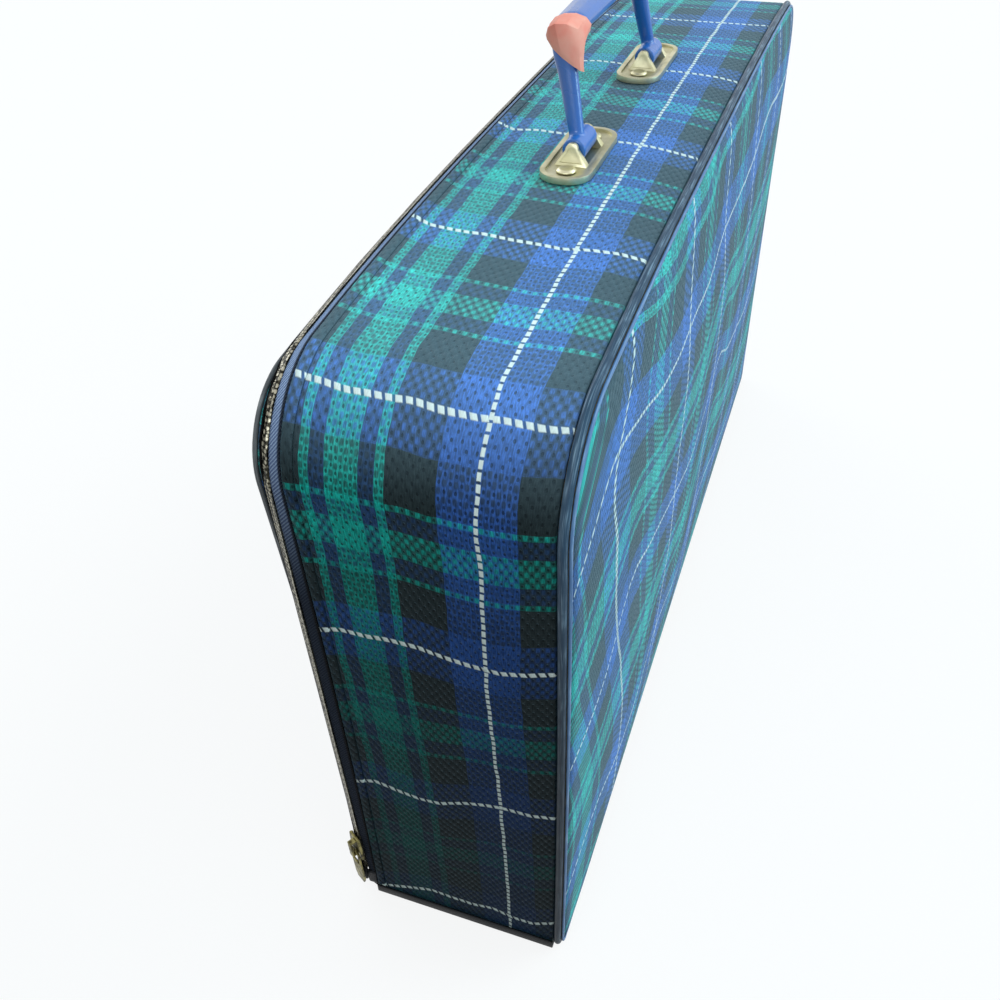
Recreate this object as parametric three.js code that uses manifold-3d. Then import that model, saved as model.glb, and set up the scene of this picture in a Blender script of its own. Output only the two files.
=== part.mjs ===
// A board-stiffened suitcase in tartan cloth that closes with a metal zip round three sides.
// It stands on its long narrow bottom. Millimetres, +Z up: X runs along the length, the plain
// front face looks along -Y, the hinged lid along +Y, and the origin is the middle of the bottom.

import * as THREE from 'three';
import { mergeVertices } from 'three/addons/utils/BufferGeometryUtils.js';
import Module from 'manifold-3d';

const wasm = await Module();
wasm.setup();

// Overall size of the case
const CASE_LENGTH = 470;
const CASE_HEIGHT = 270;
const BAND_DEPTH = 95;
const BAND_FRONT_Y = -50;
const CORNER_RADIUS = 36;
const FOOT_RADIUS = 5;
const TOP_CROWN = 9;
const END_DRAW_IN = 2.6;
const FOOT_TAPER = 6.2;
const FRONT_PILLOW = 7;
const LID_PILLOW = 4.5;

// Layers of the walls
const GAP = 0.3;
const COVER_THICKNESS = 1.2;
const BOARD_THICKNESS = 2;
const LINING_THICKNESS = 0.8;

// Front edge and back edge trim
const PIPING_RADIUS = 1.6;
const PIPING_SINK = 0.3;
const PIPING_DEPTH = 3.1;
const RIM_RADIUS = 0.6;
const RIM_DEPTH = 0.75;
const RIM_INSET = 1.2;
const BACK_BINDING_WIDTH = 3.8;
const BACK_BINDING_PROUD = 0.3;

// Zip: tape, and a chain of teeth whose loop is a little smaller than the band and falls back
const ZIP_TAPE_WIDTH = 4.2;
const ZIP_TAPE_THICKNESS = 0.8;
const CHAIN_STEP_IN = 2;
const CHAIN_DROP = 3.2;
const CHAIN_CORNER_RADIUS = 33;
const CHAIN_FALL_SHARE = 0.6;
const TOOTH_PITCH = 3.6;
const TOOTH_LENGTH = 2;
const TOOTH_SPINE = 0.8;
const TOOTH_MESH = 0.9;
const TOOTH_THICKNESS = 2;
const LID_ROW_PHASE_SHARE = 0.5;
const ZIP_FOOT = 17;

// Lid
const LID_TAPE_WIDTH = 0.6;
const LID_STEP_OUT = 0.5;
const LID_DROP = 5.5;
const LID_CORNER_RADIUS = 30;
const LID_DRAW_IN = 7;
const LID_DRAW_LOW_SHARE = 0.5;
const LID_BOARD_INSET = 7.5;
const LID_BINDING_INSET = 1.3;
const LID_BINDING_RADIUS = 0.8;
const LID_EDGE_INSET = 3;
const LID_FOOT = 4.2;

// Bottom and hinge
const BOTTOM_LIP_HEIGHT = 4.5;
const BOTTOM_LIP_THICKNESS = 0.8;
const HINGE_STRIP_THICKNESS = 0.8;
const HINGE_STRIP_WIDTH = 15;
const HINGE_END_MARGIN = 14;
const HINGE_BEHIND_BAND = 4.2;

// Handle and its two mounts
const HANDLE_SPACING = 116;
const HANDLE_Y = 0;
const HANDLE_LEAN = 12.5;
const PIN_RADIUS = 1.5;
const PIN_CLEARANCE = 0.3;
const PIN_HEIGHT = 5.7;
const PIN_SEAT_DEPTH = 1;
const KNUCKLE_RADIUS = 4.8;
const KNUCKLE_LENGTH = 17.6;
const LEG_OUTSET = 2;
const LEG_TOE_IN = 4.2;
const LEG_THICKNESS = 5.2;
const LEG_WIDTH = 6;
const GRIP_THICKNESS = 10.5;
const GRIP_WIDTH = 17;
const GRIP_CLEAR_HEIGHT = 35;
const GRIP_BEND_RADIUS = 12.5;
const LEG_SWELL_SHARE = 0.2;
const BEND_SWELL_SHARE = 0.8;
const PLATE_LENGTH = 54;
const PLATE_WIDTH = 20.5;
const PLATE_THICKNESS = 1.4;
const PLATE_END_RADIUS = 9;
const PLATE_RIM_WIDTH = 2;
const PLATE_RIM_HEIGHT = 1.1;
const EAR_THICKNESS = 1.8;
const EAR_FLARE = 2;
const EAR_FOOT_WIDTH = 13.8;
const EAR_TOP_WIDTH = 5;
const EAR_HEIGHT = 9.6;
const EAR_RECESS_DEPTH = 0.6;
const EAR_RIM = 1.6;
const EAR_SIDE_RIM = 2.4;
const EAR_SIDE_GAP = 0.5;
const SLOT_WIDTH = 12;
const RIVET_OFFSET = 18;
const RIVET_SHANK_RADIUS = 1.6;
const RIVET_HEAD_RADIUS = 3.9;
const RIVET_HEAD_HEIGHT = 1.2;
const RIVET_DIMPLE_DEPTH = 0.7;
const RIVET_TAIL_RADIUS = 2.8;
const RIVET_TAIL_THICKNESS = 0.6;
const BACKING_THICKNESS = 1.2;
const BACKING_MARGIN = 1;

// Paper tag wrapped loosely round the handle's near bend, square on its outer side
const TAG_THICKNESS = 0.5;
const TAG_LOW = 18;
const TAG_SQUARE_SHARE = 1;
const TAG_SLACK = 1.6;
const TAG_CUT_HEIGHT = 33;
const TAG_CUT_SLANT = 49;
const TAG_CUT_REACH = 30;
const TAG_REACH = 13;

// Zip slider and pull
const SLIDER_HEIGHT_AT_REST = 31;
const SLIDER_LENGTH = 15;
const SLIDER_WIDTH = 8.6;
const SLIDER_NOSE_WIDTH = 6.6;
const SLIDER_BACK_WIDTH = 4;
const SLIDER_BACK_NOSE_WIDTH = 3.5;
const SLIDER_BACK_SHIFT = 0.45;
const SLIDER_PLATE = 1.1;
const SLIDER_CLEARANCE = 0.6;
const SLIDER_FLANGE = 1;
const SLIDER_FLANGE_LOW_SHARE = 0.1;
const SLIDER_BACK_DROP = 2.3;
const BRIDGE_LENGTH = 10;
const BRIDGE_WIDTH = 2.4;
const BRIDGE_THICKNESS = 1;
const BRIDGE_OPENING = 1.9;
const PULL_LENGTH = 23.5;
const PULL_WIDTH = 7.4;
const PULL_THICKNESS = 1;
const PULL_ARM = 1;
const PULL_EYE_LENGTH = 8;
const PULL_TIP_WIDTH = 5;

// How finely the curves are cut
const END_STEPS = 4;
const CORNER_STEPS = 6;
const TOP_STEPS = 8;
const FOOT_STEPS = 2;
const BEAD_SIDES = 8;
const ROUND_SIDES = 16;
const GRIP_SIDES = 12;
const TEETH_PER_BLOCK = 4;
const OVERRUN = 1;
const CROWN_POWER = 3;
const PILLOW_POWER = 4;
const PILLOW_RING_SHARES = [1, 0.86, 0.55];

// Worked out from the sizes above
const HALF_LENGTH = CASE_LENGTH / 2;
const HALF_SPACING = HANDLE_SPACING / 2;
const BOARD_INSET = COVER_THICKNESS + GAP;
const RIVET_STACK = BACKING_THICKNESS + RIVET_TAIL_THICKNESS + GAP * 3;
const LINING_INSET = BOARD_INSET + BOARD_THICKNESS + RIVET_STACK + GAP + COVER_THICKNESS / 2;
const HINGE_Z = COVER_THICKNESS + GAP + HINGE_STRIP_THICKNESS / 2;
const BOTTOM_BOARD_Z = COVER_THICKNESS + GAP + HINGE_STRIP_THICKNESS + GAP;
const FRONT_SHEET_DEPTH = GAP;
const FRONT_BOARD_DEPTH = FRONT_SHEET_DEPTH + COVER_THICKNESS + GAP;
const BAND_START_DEPTH = PIPING_DEPTH + PIPING_RADIUS + GAP;
const BAND_BOARD_DEPTH = FRONT_BOARD_DEPTH + BOARD_THICKNESS + GAP;
const BACK_BINDING_DEPTH = BAND_DEPTH - BACK_BINDING_WIDTH - GAP;
const TAPE_END_DEPTH = BAND_DEPTH + ZIP_TAPE_WIDTH;
const CHAIN_DEPTH = TAPE_END_DEPTH + GAP;
const CHAIN_WIDTH = TOOTH_LENGTH * 2 - TOOTH_MESH;
const LID_TAPE_DEPTH = CHAIN_DEPTH + CHAIN_WIDTH + GAP;
const LID_EDGE_DEPTH = LID_TAPE_DEPTH + LID_TAPE_WIDTH;
const LID_COVER_DEPTH = LID_EDGE_DEPTH + GAP;
const LID_BOARD_DEPTH = LID_COVER_DEPTH - GAP - BOARD_THICKNESS;
const LID_LINING_DEPTH = LID_BOARD_DEPTH - GAP - LINING_THICKNESS;
const HINGE_DEPTH = BAND_DEPTH + HINGE_BEHIND_BAND;
const SHEET_INSET = PIPING_RADIUS + PIPING_SINK + GAP;
const PLATE_BASE_Z = CASE_HEIGHT + crownAt(HALF_SPACING - PLATE_LENGTH / 2) + GAP;
const PIN_Z = PLATE_BASE_Z + PIN_HEIGHT;
const EAR_INNER = KNUCKLE_LENGTH / 2 + EAR_SIDE_GAP;
const HOLE_RADIUS = RIVET_SHANK_RADIUS + PIN_CLEARANCE;
const BACKING_TOP_Z = CASE_HEIGHT - BOARD_INSET - BOARD_THICKNESS
  + crownAt(HALF_SPACING + PLATE_LENGTH / 2) - GAP;

const CASE_SHAPE = { halfLength: HALF_LENGTH, height: CASE_HEIGHT, radius: CORNER_RADIUS };
const CHAIN_SHAPE = {
  halfLength: HALF_LENGTH - CHAIN_STEP_IN,
  height: CASE_HEIGHT - CHAIN_DROP,
  radius: CHAIN_CORNER_RADIUS,
};
const LID_SHAPE = {
  halfLength: HALF_LENGTH + LID_STEP_OUT,
  height: CASE_HEIGHT - LID_DROP,
  radius: LID_CORNER_RADIUS,
};

// Finishes
function finish(color, roughness, metalness) {
  return new THREE.MeshStandardMaterial({ color, roughness, metalness });
}
const tartan = finish(0x1f5f6e, 0.75, 0);
const vinyl = finish(0x1b2536, 0.45, 0);
const board = finish(0x9a8563, 0.9, 0);
const liningPaper = finish(0x8f9499, 0.9, 0);
const tapeCloth = finish(0x55688f, 0.8, 0);
const zipMetal = finish(0x6f6a50, 0.4, 1);
const brass = finish(0xa3974f, 0.35, 1);
const nickel = finish(0xc9c59c, 0.3, 1);
const steel = finish(0x8d9096, 0.4, 1);
const blueVinyl = finish(0x2f6fd6, 0.35, 0);
const coralPaper = finish(0xff8f7a, 0.8, 0);

// How high the crowned top stands above the shoulders at a place along the length
function crownAt(x) {
  return TOP_CROWN * (1 - Math.pow(Math.abs(x) / HALF_LENGTH, CROWN_POWER));
}

// How far an end dips at a place on it, most at half height
function endDip(x, z, drawIn) {
  const outwards = Math.abs(x) / HALF_LENGTH;
  const up = upAt(z);
  return drawIn * (1 - up * up) * outwards * outwards;
}

// Height as a share from the middle of the case, 1 at its top
function upAt(z) {
  return (z * 2) / CASE_HEIGHT - 1;
}

// The lid's ends dip more than the band's, and more so near the foot
function lidDrawIn(z) {
  return LID_DRAW_IN * (1 - LID_DRAW_LOW_SHARE * upAt(z));
}

// The case is modelled square and straight, then drawn into its real shape: a crowned top,
// ends that dip at half height, and a depth that is a little less at the foot.
function settle(geometry, onLid = false) {
  const position = geometry.getAttribute('position');
  for (let i = 0; i < position.count; i += 1) {
    const x = position.getX(i);
    const depth = position.getY(i) - BAND_FRONT_Y;
    const z = position.getZ(i);
    const newZ = z + crownAt(x) * THREE.MathUtils.clamp(upAt(z), 0, 1);
    const pastBand = THREE.MathUtils.clamp((depth - BAND_DEPTH) / ZIP_TAPE_WIDTH, 0, 1);
    const drawIn = onLid ? lidDrawIn(z) : END_DRAW_IN * (1 - pastBand);
    const newX = x - Math.sign(x) * endDip(x, z, drawIn);
    const narrowing = (FOOT_TAPER / BAND_DEPTH) * (1 - newZ / CASE_HEIGHT);
    position.setXYZ(i, newX, BAND_FRONT_Y + depth * (1 - narrowing), newZ);
  }
  return geometry;
}

// Stations up one end, round the corner, along the top and down the other end, with the
// direction that faces out of the case at each
function archStations(shape, foot) {
  const stations = [];
  const shoulder = shape.height - shape.radius;
  const straight = shape.halfLength - shape.radius;
  for (let i = 0; i < END_STEPS; i += 1) {
    stations.push([-shape.halfLength, foot + ((shoulder - foot) * i) / END_STEPS, -1, 0]);
  }
  for (let i = 0; i < CORNER_STEPS; i += 1) {
    const angle = Math.PI - (Math.PI / 2) * (i / CORNER_STEPS);
    const c = Math.cos(angle);
    const s = Math.sin(angle);
    stations.push([-straight + shape.radius * c, shoulder + shape.radius * s, c, s]);
  }
  for (let i = 0; i < TOP_STEPS / 2; i += 1) {
    stations.push([-straight * (1 - i / (TOP_STEPS / 2)), shape.height, 0, 1]);
  }
  const mirrored = stations.map(([x, z, nx, nz]) => [-x, z, -nx, nz]).reverse();
  return [...stations, [0, shape.height, 0, 1], ...mirrored];
}

// The same stations closed by a straight foot with small round corners
function loopStations(shape, foot) {
  const bottom = [];
  const straight = shape.halfLength - FOOT_RADIUS;
  for (let i = 0; i < FOOT_STEPS; i += 1) {
    const angle = -(Math.PI / 2) * ((i + 1) / (FOOT_STEPS + 1));
    const c = Math.cos(angle);
    const s = Math.sin(angle);
    bottom.push([straight + FOOT_RADIUS * c, foot + FOOT_RADIUS + FOOT_RADIUS * s, c, s]);
  }
  bottom.push([straight, foot, 0, -1]);
  const mirrored = bottom.map(([x, z, nx, nz]) => [-x, z, -nx, nz]).reverse();
  return [...archStations(shape, foot + FOOT_RADIUS), ...bottom, ...mirrored];
}

// A point at a station: out along its normal by n, at a depth behind the front edge
function place([x, z, nx, nz], n, depth) {
  return [x + nx * n, BAND_FRONT_Y + depth, z + nz * n];
}

// A closed solid from rings of points, each ring joined to the next
function loft(rings, closed) {
  const count = rings[0].length;
  const positions = rings.flat(2);
  const index = [];
  const last = closed ? rings.length : rings.length - 1;
  for (let i = 0; i < last; i += 1) {
    const here = i * count;
    const next = ((i + 1) % rings.length) * count;
    for (let k = 0; k < count; k += 1) {
      const m = (k + 1) % count;
      index.push(here + k, next + k, next + m);
      index.push(here + k, next + m, here + m);
    }
  }
  if (!closed) {
    const end = (rings.length - 1) * count;
    for (let k = 1; k < count - 1; k += 1) {
      index.push(0, k, k + 1);
      index.push(end, end + k + 1, end + k);
    }
  }
  return outward(new THREE.BufferGeometry(), positions, index);
}

// Fills a geometry from points and triangles and turns its faces outwards
function outward(geometry, positions, index) {
  let volume = 0;
  const corner = (i) => new THREE.Vector3().fromArray(positions, index[i] * 3);
  for (let i = 0; i < index.length; i += 3) {
    volume += corner(i).dot(corner(i + 1).cross(corner(i + 2)));
  }
  if (volume < 0) {
    index.reverse();
  }
  geometry.setAttribute('position', new THREE.Float32BufferAttribute(positions, 3));
  geometry.setIndex(index);
  return geometry;
}

// A strip of constant section along stations. The section is a list of [n, depth].
function sweep(stations, section, closed = false) {
  return loft(stations.map((s) => section.map(([n, depth]) => place(s, n, depth))), closed);
}

function bar(nLow, nHigh, depthLow, depthHigh) {
  return [[nLow, depthLow], [nHigh, depthLow], [nHigh, depthHigh], [nLow, depthHigh]];
}

function bead(radius, n, depth) {
  return Array.from({ length: BEAD_SIDES }, (unused, i) => {
    const angle = (2 * Math.PI * i) / BEAD_SIDES;
    return [n + radius * Math.cos(angle), depth + radius * Math.sin(angle)];
  });
}

// A sheet inside a closed outline, crowned by pillow at its middle (minus is towards -Y)
function pillowSheet(stations, inset, depth, thickness, pillow) {
  const edge = stations.map((s) => place(s, -inset, 0));
  const heights = edge.map((p) => p[2]);
  const middleZ = (Math.min(...heights) + Math.max(...heights)) / 2;
  const rings = [];
  for (const share of PILLOW_RING_SHARES) {
    const bulge = pillow * (1 - Math.pow(share, PILLOW_POWER));
    rings.push(edge.map(([x, , z]) => [x * share, bulge, middleZ + (z - middleZ) * share]));
  }
  const count = edge.length;
  const positions = [];
  const index = [];
  for (const face of [0, 1]) {
    const y = BAND_FRONT_Y + depth + face * thickness;
    for (const ring of rings) {
      ring.forEach(([px, bulge, pz]) => positions.push(px, y + bulge, pz));
    }
    positions.push(0, y + pillow, middleZ);
  }
  const faceSize = count * rings.length + 1;
  for (const face of [0, 1]) {
    const start = face * faceSize;
    for (let k = 0; k < count; k += 1) {
      const m = (k + 1) % count;
      const triangles = [];
      for (let r = 0; r < rings.length - 1; r += 1) {
        const a = start + r * count;
        const b = a + count;
        triangles.push([a + k, a + m, b + m], [a + k, b + m, b + k]);
      }
      const inner = start + (rings.length - 1) * count;
      triangles.push([inner + k, inner + m, start + faceSize - 1]);
      triangles.forEach((t) => index.push(...(face ? t : t.reverse())));
    }
  }
  for (let k = 0; k < count; k += 1) {
    const m = (k + 1) % count;
    index.push(k, m, faceSize + m, k, faceSize + m, faceSize + k);
  }
  return outward(new THREE.BufferGeometry(), positions, index);
}

// Booleans
function solid(geometry) {
  const bare = geometry.clone();
  bare.deleteAttribute('normal');
  bare.deleteAttribute('uv');
  const merged = mergeVertices(bare);
  const mesh = new wasm.Mesh({
    numProp: 3,
    vertProperties: new Float32Array(merged.getAttribute('position').array),
    triVerts: new Uint32Array(merged.getIndex().array),
  });
  return new wasm.Manifold(mesh);
}

function fromSolid(manifold) {
  const mesh = manifold.getMesh();
  const geometry = new THREE.BufferGeometry();
  geometry.setAttribute('position', new THREE.BufferAttribute(mesh.vertProperties, 3));
  geometry.setIndex(new THREE.BufferAttribute(mesh.triVerts, 1));
  return geometry;
}

function cut(body, ...tools) {
  return fromSolid(tools.reduce((left, tool) => left.subtract(solid(tool)), solid(body)));
}

function join(...bodies) {
  const [first, ...rest] = bodies.map(solid);
  return fromSolid(rest.reduce((whole, body) => whole.add(body), first));
}

function block(x0, x1, y0, y1, z0, z1) {
  const box = new THREE.BoxGeometry(x1 - x0, y1 - y0, z1 - z0);
  return box.translate((x0 + x1) / 2, (y0 + y1) / 2, (z0 + z1) / 2);
}

// An upright post at a place, between two heights
function post(x, y, radius, zLow, zHigh) {
  const cylinder = new THREE.CylinderGeometry(radius, radius, zHigh - zLow, ROUND_SIDES);
  return cylinder.rotateX(Math.PI / 2).translate(x, y, (zLow + zHigh) / 2);
}

// A rod along X
function rod(x0, x1, y, z, radius, sides = ROUND_SIDES) {
  const cylinder = new THREE.CylinderGeometry(radius, radius, x1 - x0, sides);
  return cylinder.rotateZ(Math.PI / 2).translate((x0 + x1) / 2, y, z);
}

function rivetPlaces() {
  const places = [];
  for (const side of [-1, 1]) {
    for (const end of [-1, 1]) {
      places.push(side * HALF_SPACING + end * RIVET_OFFSET);
    }
  }
  return places;
}

function rivetHoles() {
  const low = CASE_HEIGHT - LINING_INSET;
  return rivetPlaces().map((x) => post(x, HANDLE_Y, HOLE_RADIUS, low, CASE_HEIGHT + OVERRUN));
}

const suitcase = new THREE.Group();

function add(parent, name, geometry, material) {
  const shell = geometry.index ? geometry.toNonIndexed() : geometry;
  shell.computeVertexNormals();
  const mesh = new THREE.Mesh(shell, material);
  mesh.name = name;
  parent.add(mesh);
  return mesh;
}

// Front face: a crowned board under the cloth, edged with a thin rim and a piping bead
function buildFront() {
  const outline = loopStations(CASE_SHAPE, PIPING_RADIUS - PIPING_SINK + GAP);
  const bulge = -FRONT_PILLOW;
  const cover = pillowSheet(outline, SHEET_INSET, FRONT_SHEET_DEPTH, COVER_THICKNESS, bulge);
  const stiffener = pillowSheet(outline, SHEET_INSET, FRONT_BOARD_DEPTH, BOARD_THICKNESS, bulge);
  const piping = sweep(outline, bead(PIPING_RADIUS, -PIPING_SINK, PIPING_DEPTH), true);
  const rim = sweep(outline, bead(RIM_RADIUS, -RIM_INSET, RIM_DEPTH), true);
  add(suitcase, 'front_cover', settle(cover), tartan);
  add(suitcase, 'front_board', settle(stiffener), board);
  add(suitcase, 'front_piping', settle(piping), vinyl);
  add(suitcase, 'front_rim', settle(rim), vinyl);
}

// The band of cloth and board over the top and both ends
function buildBand() {
  const arch = archStations(CASE_SHAPE, BOARD_INSET);
  const coverBar = bar(-COVER_THICKNESS, 0, BAND_START_DEPTH, BACK_BINDING_DEPTH - GAP);
  const cover = cut(sweep(arch, coverBar), ...rivetHoles());
  const boardArch = archStations(CASE_SHAPE, BOTTOM_BOARD_Z + BOARD_THICKNESS + GAP);
  const boardInner = -BOARD_INSET - BOARD_THICKNESS;
  const boardBar = bar(boardInner, -BOARD_INSET, BAND_START_DEPTH, BAND_DEPTH - GAP);
  const stiffener = cut(sweep(boardArch, boardBar), ...rivetHoles());
  const trimArch = archStations(CASE_SHAPE, BOTTOM_LIP_HEIGHT + GAP);
  const backBar = bar(-COVER_THICKNESS, BACK_BINDING_PROUD, BACK_BINDING_DEPTH, BAND_DEPTH - GAP);
  add(suitcase, 'band_cover', settle(cover), tartan);
  add(suitcase, 'band_board', settle(stiffener), board);
  add(suitcase, 'back_binding', settle(sweep(trimArch, backBar)), vinyl);
}

// Bottom: a vinyl sheet turned up a little at each end, a board over it, and the hinge strip
function buildBottom() {
  const half = HALF_LENGTH;
  const yFront = BAND_FRONT_Y + BAND_START_DEPTH;
  const yBack = BAND_FRONT_Y + BAND_DEPTH - GAP;
  const lipInner = half + GAP;
  const lipOuter = lipInner + BOTTOM_LIP_THICKNESS;
  const profile = [
    [-lipOuter, 0], [lipOuter, 0], [lipOuter, BOTTOM_LIP_HEIGHT], [lipInner, BOTTOM_LIP_HEIGHT],
    [lipInner, COVER_THICKNESS], [-lipInner, COVER_THICKNESS],
    [-lipInner, BOTTOM_LIP_HEIGHT], [-lipOuter, BOTTOM_LIP_HEIGHT],
  ];
  const shape = new THREE.Shape(profile.map(([x, z]) => new THREE.Vector2(x, z)));
  const sheet = new THREE.ExtrudeGeometry(shape, { depth: yBack - yFront, bevelEnabled: false });
  sheet.rotateX(Math.PI / 2).translate(0, yBack, 0);
  const boardHalf = half - BOARD_INSET;
  const boardFront = BAND_FRONT_Y + BAND_START_DEPTH;
  const boardTop = BOTTOM_BOARD_Z + BOARD_THICKNESS;
  const stiffener = block(-boardHalf, boardHalf, boardFront, yBack, BOTTOM_BOARD_Z, boardTop);
  const stripHalf = half - HINGE_END_MARGIN;
  const stripBack = BAND_FRONT_Y + HINGE_DEPTH - GAP;
  const stripFront = stripBack - HINGE_STRIP_WIDTH;
  const stripTop = HINGE_Z + HINGE_STRIP_THICKNESS / 2;
  const stripLow = HINGE_Z - HINGE_STRIP_THICKNESS / 2;
  const strip = block(-stripHalf, stripHalf, stripFront, stripBack, stripLow, stripTop);
  add(suitcase, 'bottom_cover', settle(sheet), vinyl);
  add(suitcase, 'bottom_board', settle(stiffener), board);
  add(suitcase, 'hinge_strip_case', settle(strip), vinyl);
}

// The lining is one open tray inside the boards
function buildLining() {
  const shrink = (inset) => ({
    halfLength: HALF_LENGTH - inset,
    height: CASE_HEIGHT - inset,
    radius: CORNER_RADIUS - inset,
  });
  const foot = BOTTOM_BOARD_Z + BOARD_THICKNESS + GAP;
  const start = BAND_BOARD_DEPTH;
  const end = BAND_DEPTH - BOARD_THICKNESS;
  const outer = tray(loopStations(shrink(LINING_INSET), foot), start, end);
  const innerInset = LINING_INSET + LINING_THICKNESS;
  const innerLoop = loopStations(shrink(innerInset), foot + LINING_THICKNESS);
  const inner = tray(innerLoop, start + LINING_THICKNESS, end + OVERRUN);
  add(suitcase, 'case_lining', settle(cut(outer, inner)), liningPaper);
}

// A closed outline filled in, between two depths
function tray(stations, depthLow, depthHigh) {
  const shape = new THREE.Shape(stations.map(([x, z]) => new THREE.Vector2(x, z)));
  const depth = depthHigh - depthLow;
  const slab = new THREE.ExtrudeGeometry(shape, { depth, bevelEnabled: false });
  return slab.rotateX(Math.PI / 2).translate(0, BAND_FRONT_Y + depthHigh, 0);
}

// A tape that bridges from one loop to another, each given by its outer n and depth
function tape(shapeA, nA, depthA, shapeB, nB, depthB, foot) {
  const a = archStations(shapeA, foot);
  const b = archStations(shapeB, foot);
  const rings = a.map((station, i) => [
    place(station, nA, depthA),
    place(b[i], nB, depthB),
    place(b[i], nB - ZIP_TAPE_THICKNESS, depthB),
    place(station, nA - ZIP_TAPE_THICKNESS, depthA),
  ]);
  return loft(rings, false);
}

// Station at a distance along the smooth line of a shape, from its foot up and over
function stationAt(shape, foot, distance) {
  const end = shape.height - shape.radius - foot;
  const corner = (Math.PI / 2) * shape.radius;
  const half = end + corner + shape.halfLength - shape.radius;
  const mirror = distance > half;
  const s = mirror ? 2 * half - distance : distance;
  let station = [-shape.halfLength, foot + s, -1, 0];
  if (s > end + corner) {
    station = [-(half - s), shape.height, 0, 1];
  } else if (s > end) {
    const angle = Math.PI - (s - end) / shape.radius;
    const c = Math.cos(angle);
    const n = Math.sin(angle);
    const straight = shape.halfLength - shape.radius;
    station = [-straight + shape.radius * c, shape.height - shape.radius + shape.radius * n, c, n];
  }
  return mirror ? [-station[0], station[1], -station[2], station[3]] : station;
}

function chainLength() {
  const { halfLength, height, radius } = CHAIN_SHAPE;
  const end = height - radius - ZIP_FOOT;
  return 2 * (end + (Math.PI / 2) * radius + halfLength - radius);
}

// The zip's surface falls back towards the lid by this much at a depth
function fallen(depth) {
  return CHAIN_FALL_SHARE * (depth - CHAIN_DEPTH);
}

// One row of zip teeth on its spine. A row starts at phase (a share of the pitch), its spine
// lies at spineDepth, and its teeth point along side.
function toothRow(phaseShare, spineDepth, side) {
  const toothWidth = TOOTH_PITCH / 2 - GAP;
  const teeth = Math.floor(chainLength() / TOOTH_PITCH / TEETH_PER_BLOCK) * TEETH_PER_BLOCK;
  const root = spineDepth + side * TOOTH_SPINE;
  const tip = spineDepth + side * TOOTH_LENGTH;
  const half = TOOTH_THICKNESS / 2;
  const positions = [];
  const index = [];
  const point = (distance, depth) => {
    const station = stationAt(CHAIN_SHAPE, ZIP_FOOT, distance);
    const middle = -fallen(depth);
    positions.push(...place(station, middle + half, depth));
    positions.push(...place(station, middle - half, depth));
    return positions.length / 3 - 2;
  };
  const wall = (a, b) => index.push(a, b, b + 1, a, b + 1, a + 1);
  const cap = (points) => {
    for (let k = 1; k < points.length - 1; k += 1) {
      index.push(points[0], points[k + 1], points[k]);
      index.push(points[0] + 1, points[k] + 1, points[k + 1] + 1);
    }
  };
  const begin = TOOTH_PITCH * phaseShare;
  let back = point(begin, spineDepth);
  let front = point(begin, root);
  wall(back, front);
  for (let first = 0; first < teeth; first += TEETH_PER_BLOCK) {
    const run = [back, front];
    for (let k = first; k < first + TEETH_PER_BLOCK; k += 1) {
      const start = begin + k * TOOTH_PITCH;
      const tipStart = point(start, tip);
      const tipEnd = point(start + toothWidth, tip);
      const rootEnd = point(start + toothWidth, root);
      const nextFront = point(start + TOOTH_PITCH, root);
      wall(front, tipStart);
      wall(tipStart, tipEnd);
      wall(tipEnd, rootEnd);
      wall(rootEnd, nextFront);
      cap([front, tipStart, tipEnd, rootEnd]);
      run.push(rootEnd, nextFront);
      front = nextFront;
    }
    const nextBack = point(begin + (first + TEETH_PER_BLOCK) * TOOTH_PITCH, spineDepth);
    const middle = Math.ceil(run.length / 2);
    cap([back, ...run.slice(1, middle)]);
    cap([nextBack, back, ...run.slice(middle - 1)]);
    wall(nextBack, back);
    back = nextBack;
  }
  wall(front, back);
  return outward(new THREE.BufferGeometry(), positions, index);
}

// A small metal block clipped to the tapes below the last tooth
function bottomStop(side) {
  const x = side * (CHAIN_SHAPE.halfLength - fallen(CHAIN_DEPTH + TOOTH_LENGTH / 2));
  const half = TOOTH_THICKNESS / 2;
  const y0 = BAND_FRONT_Y + CHAIN_DEPTH;
  const top = ZIP_FOOT - GAP;
  return block(x - half, x + half, y0, y0 + TOOTH_LENGTH, top - TOOTH_PITCH, top);
}

// The lid's tape is a flat web behind the teeth. At each station it covers all between the
// spine of the teeth and the lid's cloth, and its edge is tucked under the lid's binding.
function lidTape() {
  const outer = ZIP_TAPE_THICKNESS / 2 - fallen(LID_TAPE_DEPTH);
  const edge = archStations(LID_SHAPE, LID_FOOT);
  const rings = archStations(CHAIN_SHAPE, LID_FOOT).map((station, i) => {
    const [x, z, nx, nz] = station;
    const [lidX, lidZ] = edge[i];
    const dippedX = lidX - Math.sign(lidX) * endDip(lidX, lidZ, lidDrawIn(lidZ));
    const reach = (dippedX - x) * nx + (lidZ - z) * nz;
    const high = Math.max(outer, reach - LID_BINDING_INSET - LID_BINDING_RADIUS);
    const low = Math.min(outer - ZIP_TAPE_THICKNESS, reach - LID_EDGE_INSET);
    const section = bar(low, high, LID_TAPE_DEPTH, LID_EDGE_DEPTH);
    return section.map(([n, depth]) => place(station, n, depth));
  });
  return loft(rings, false);
}

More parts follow.
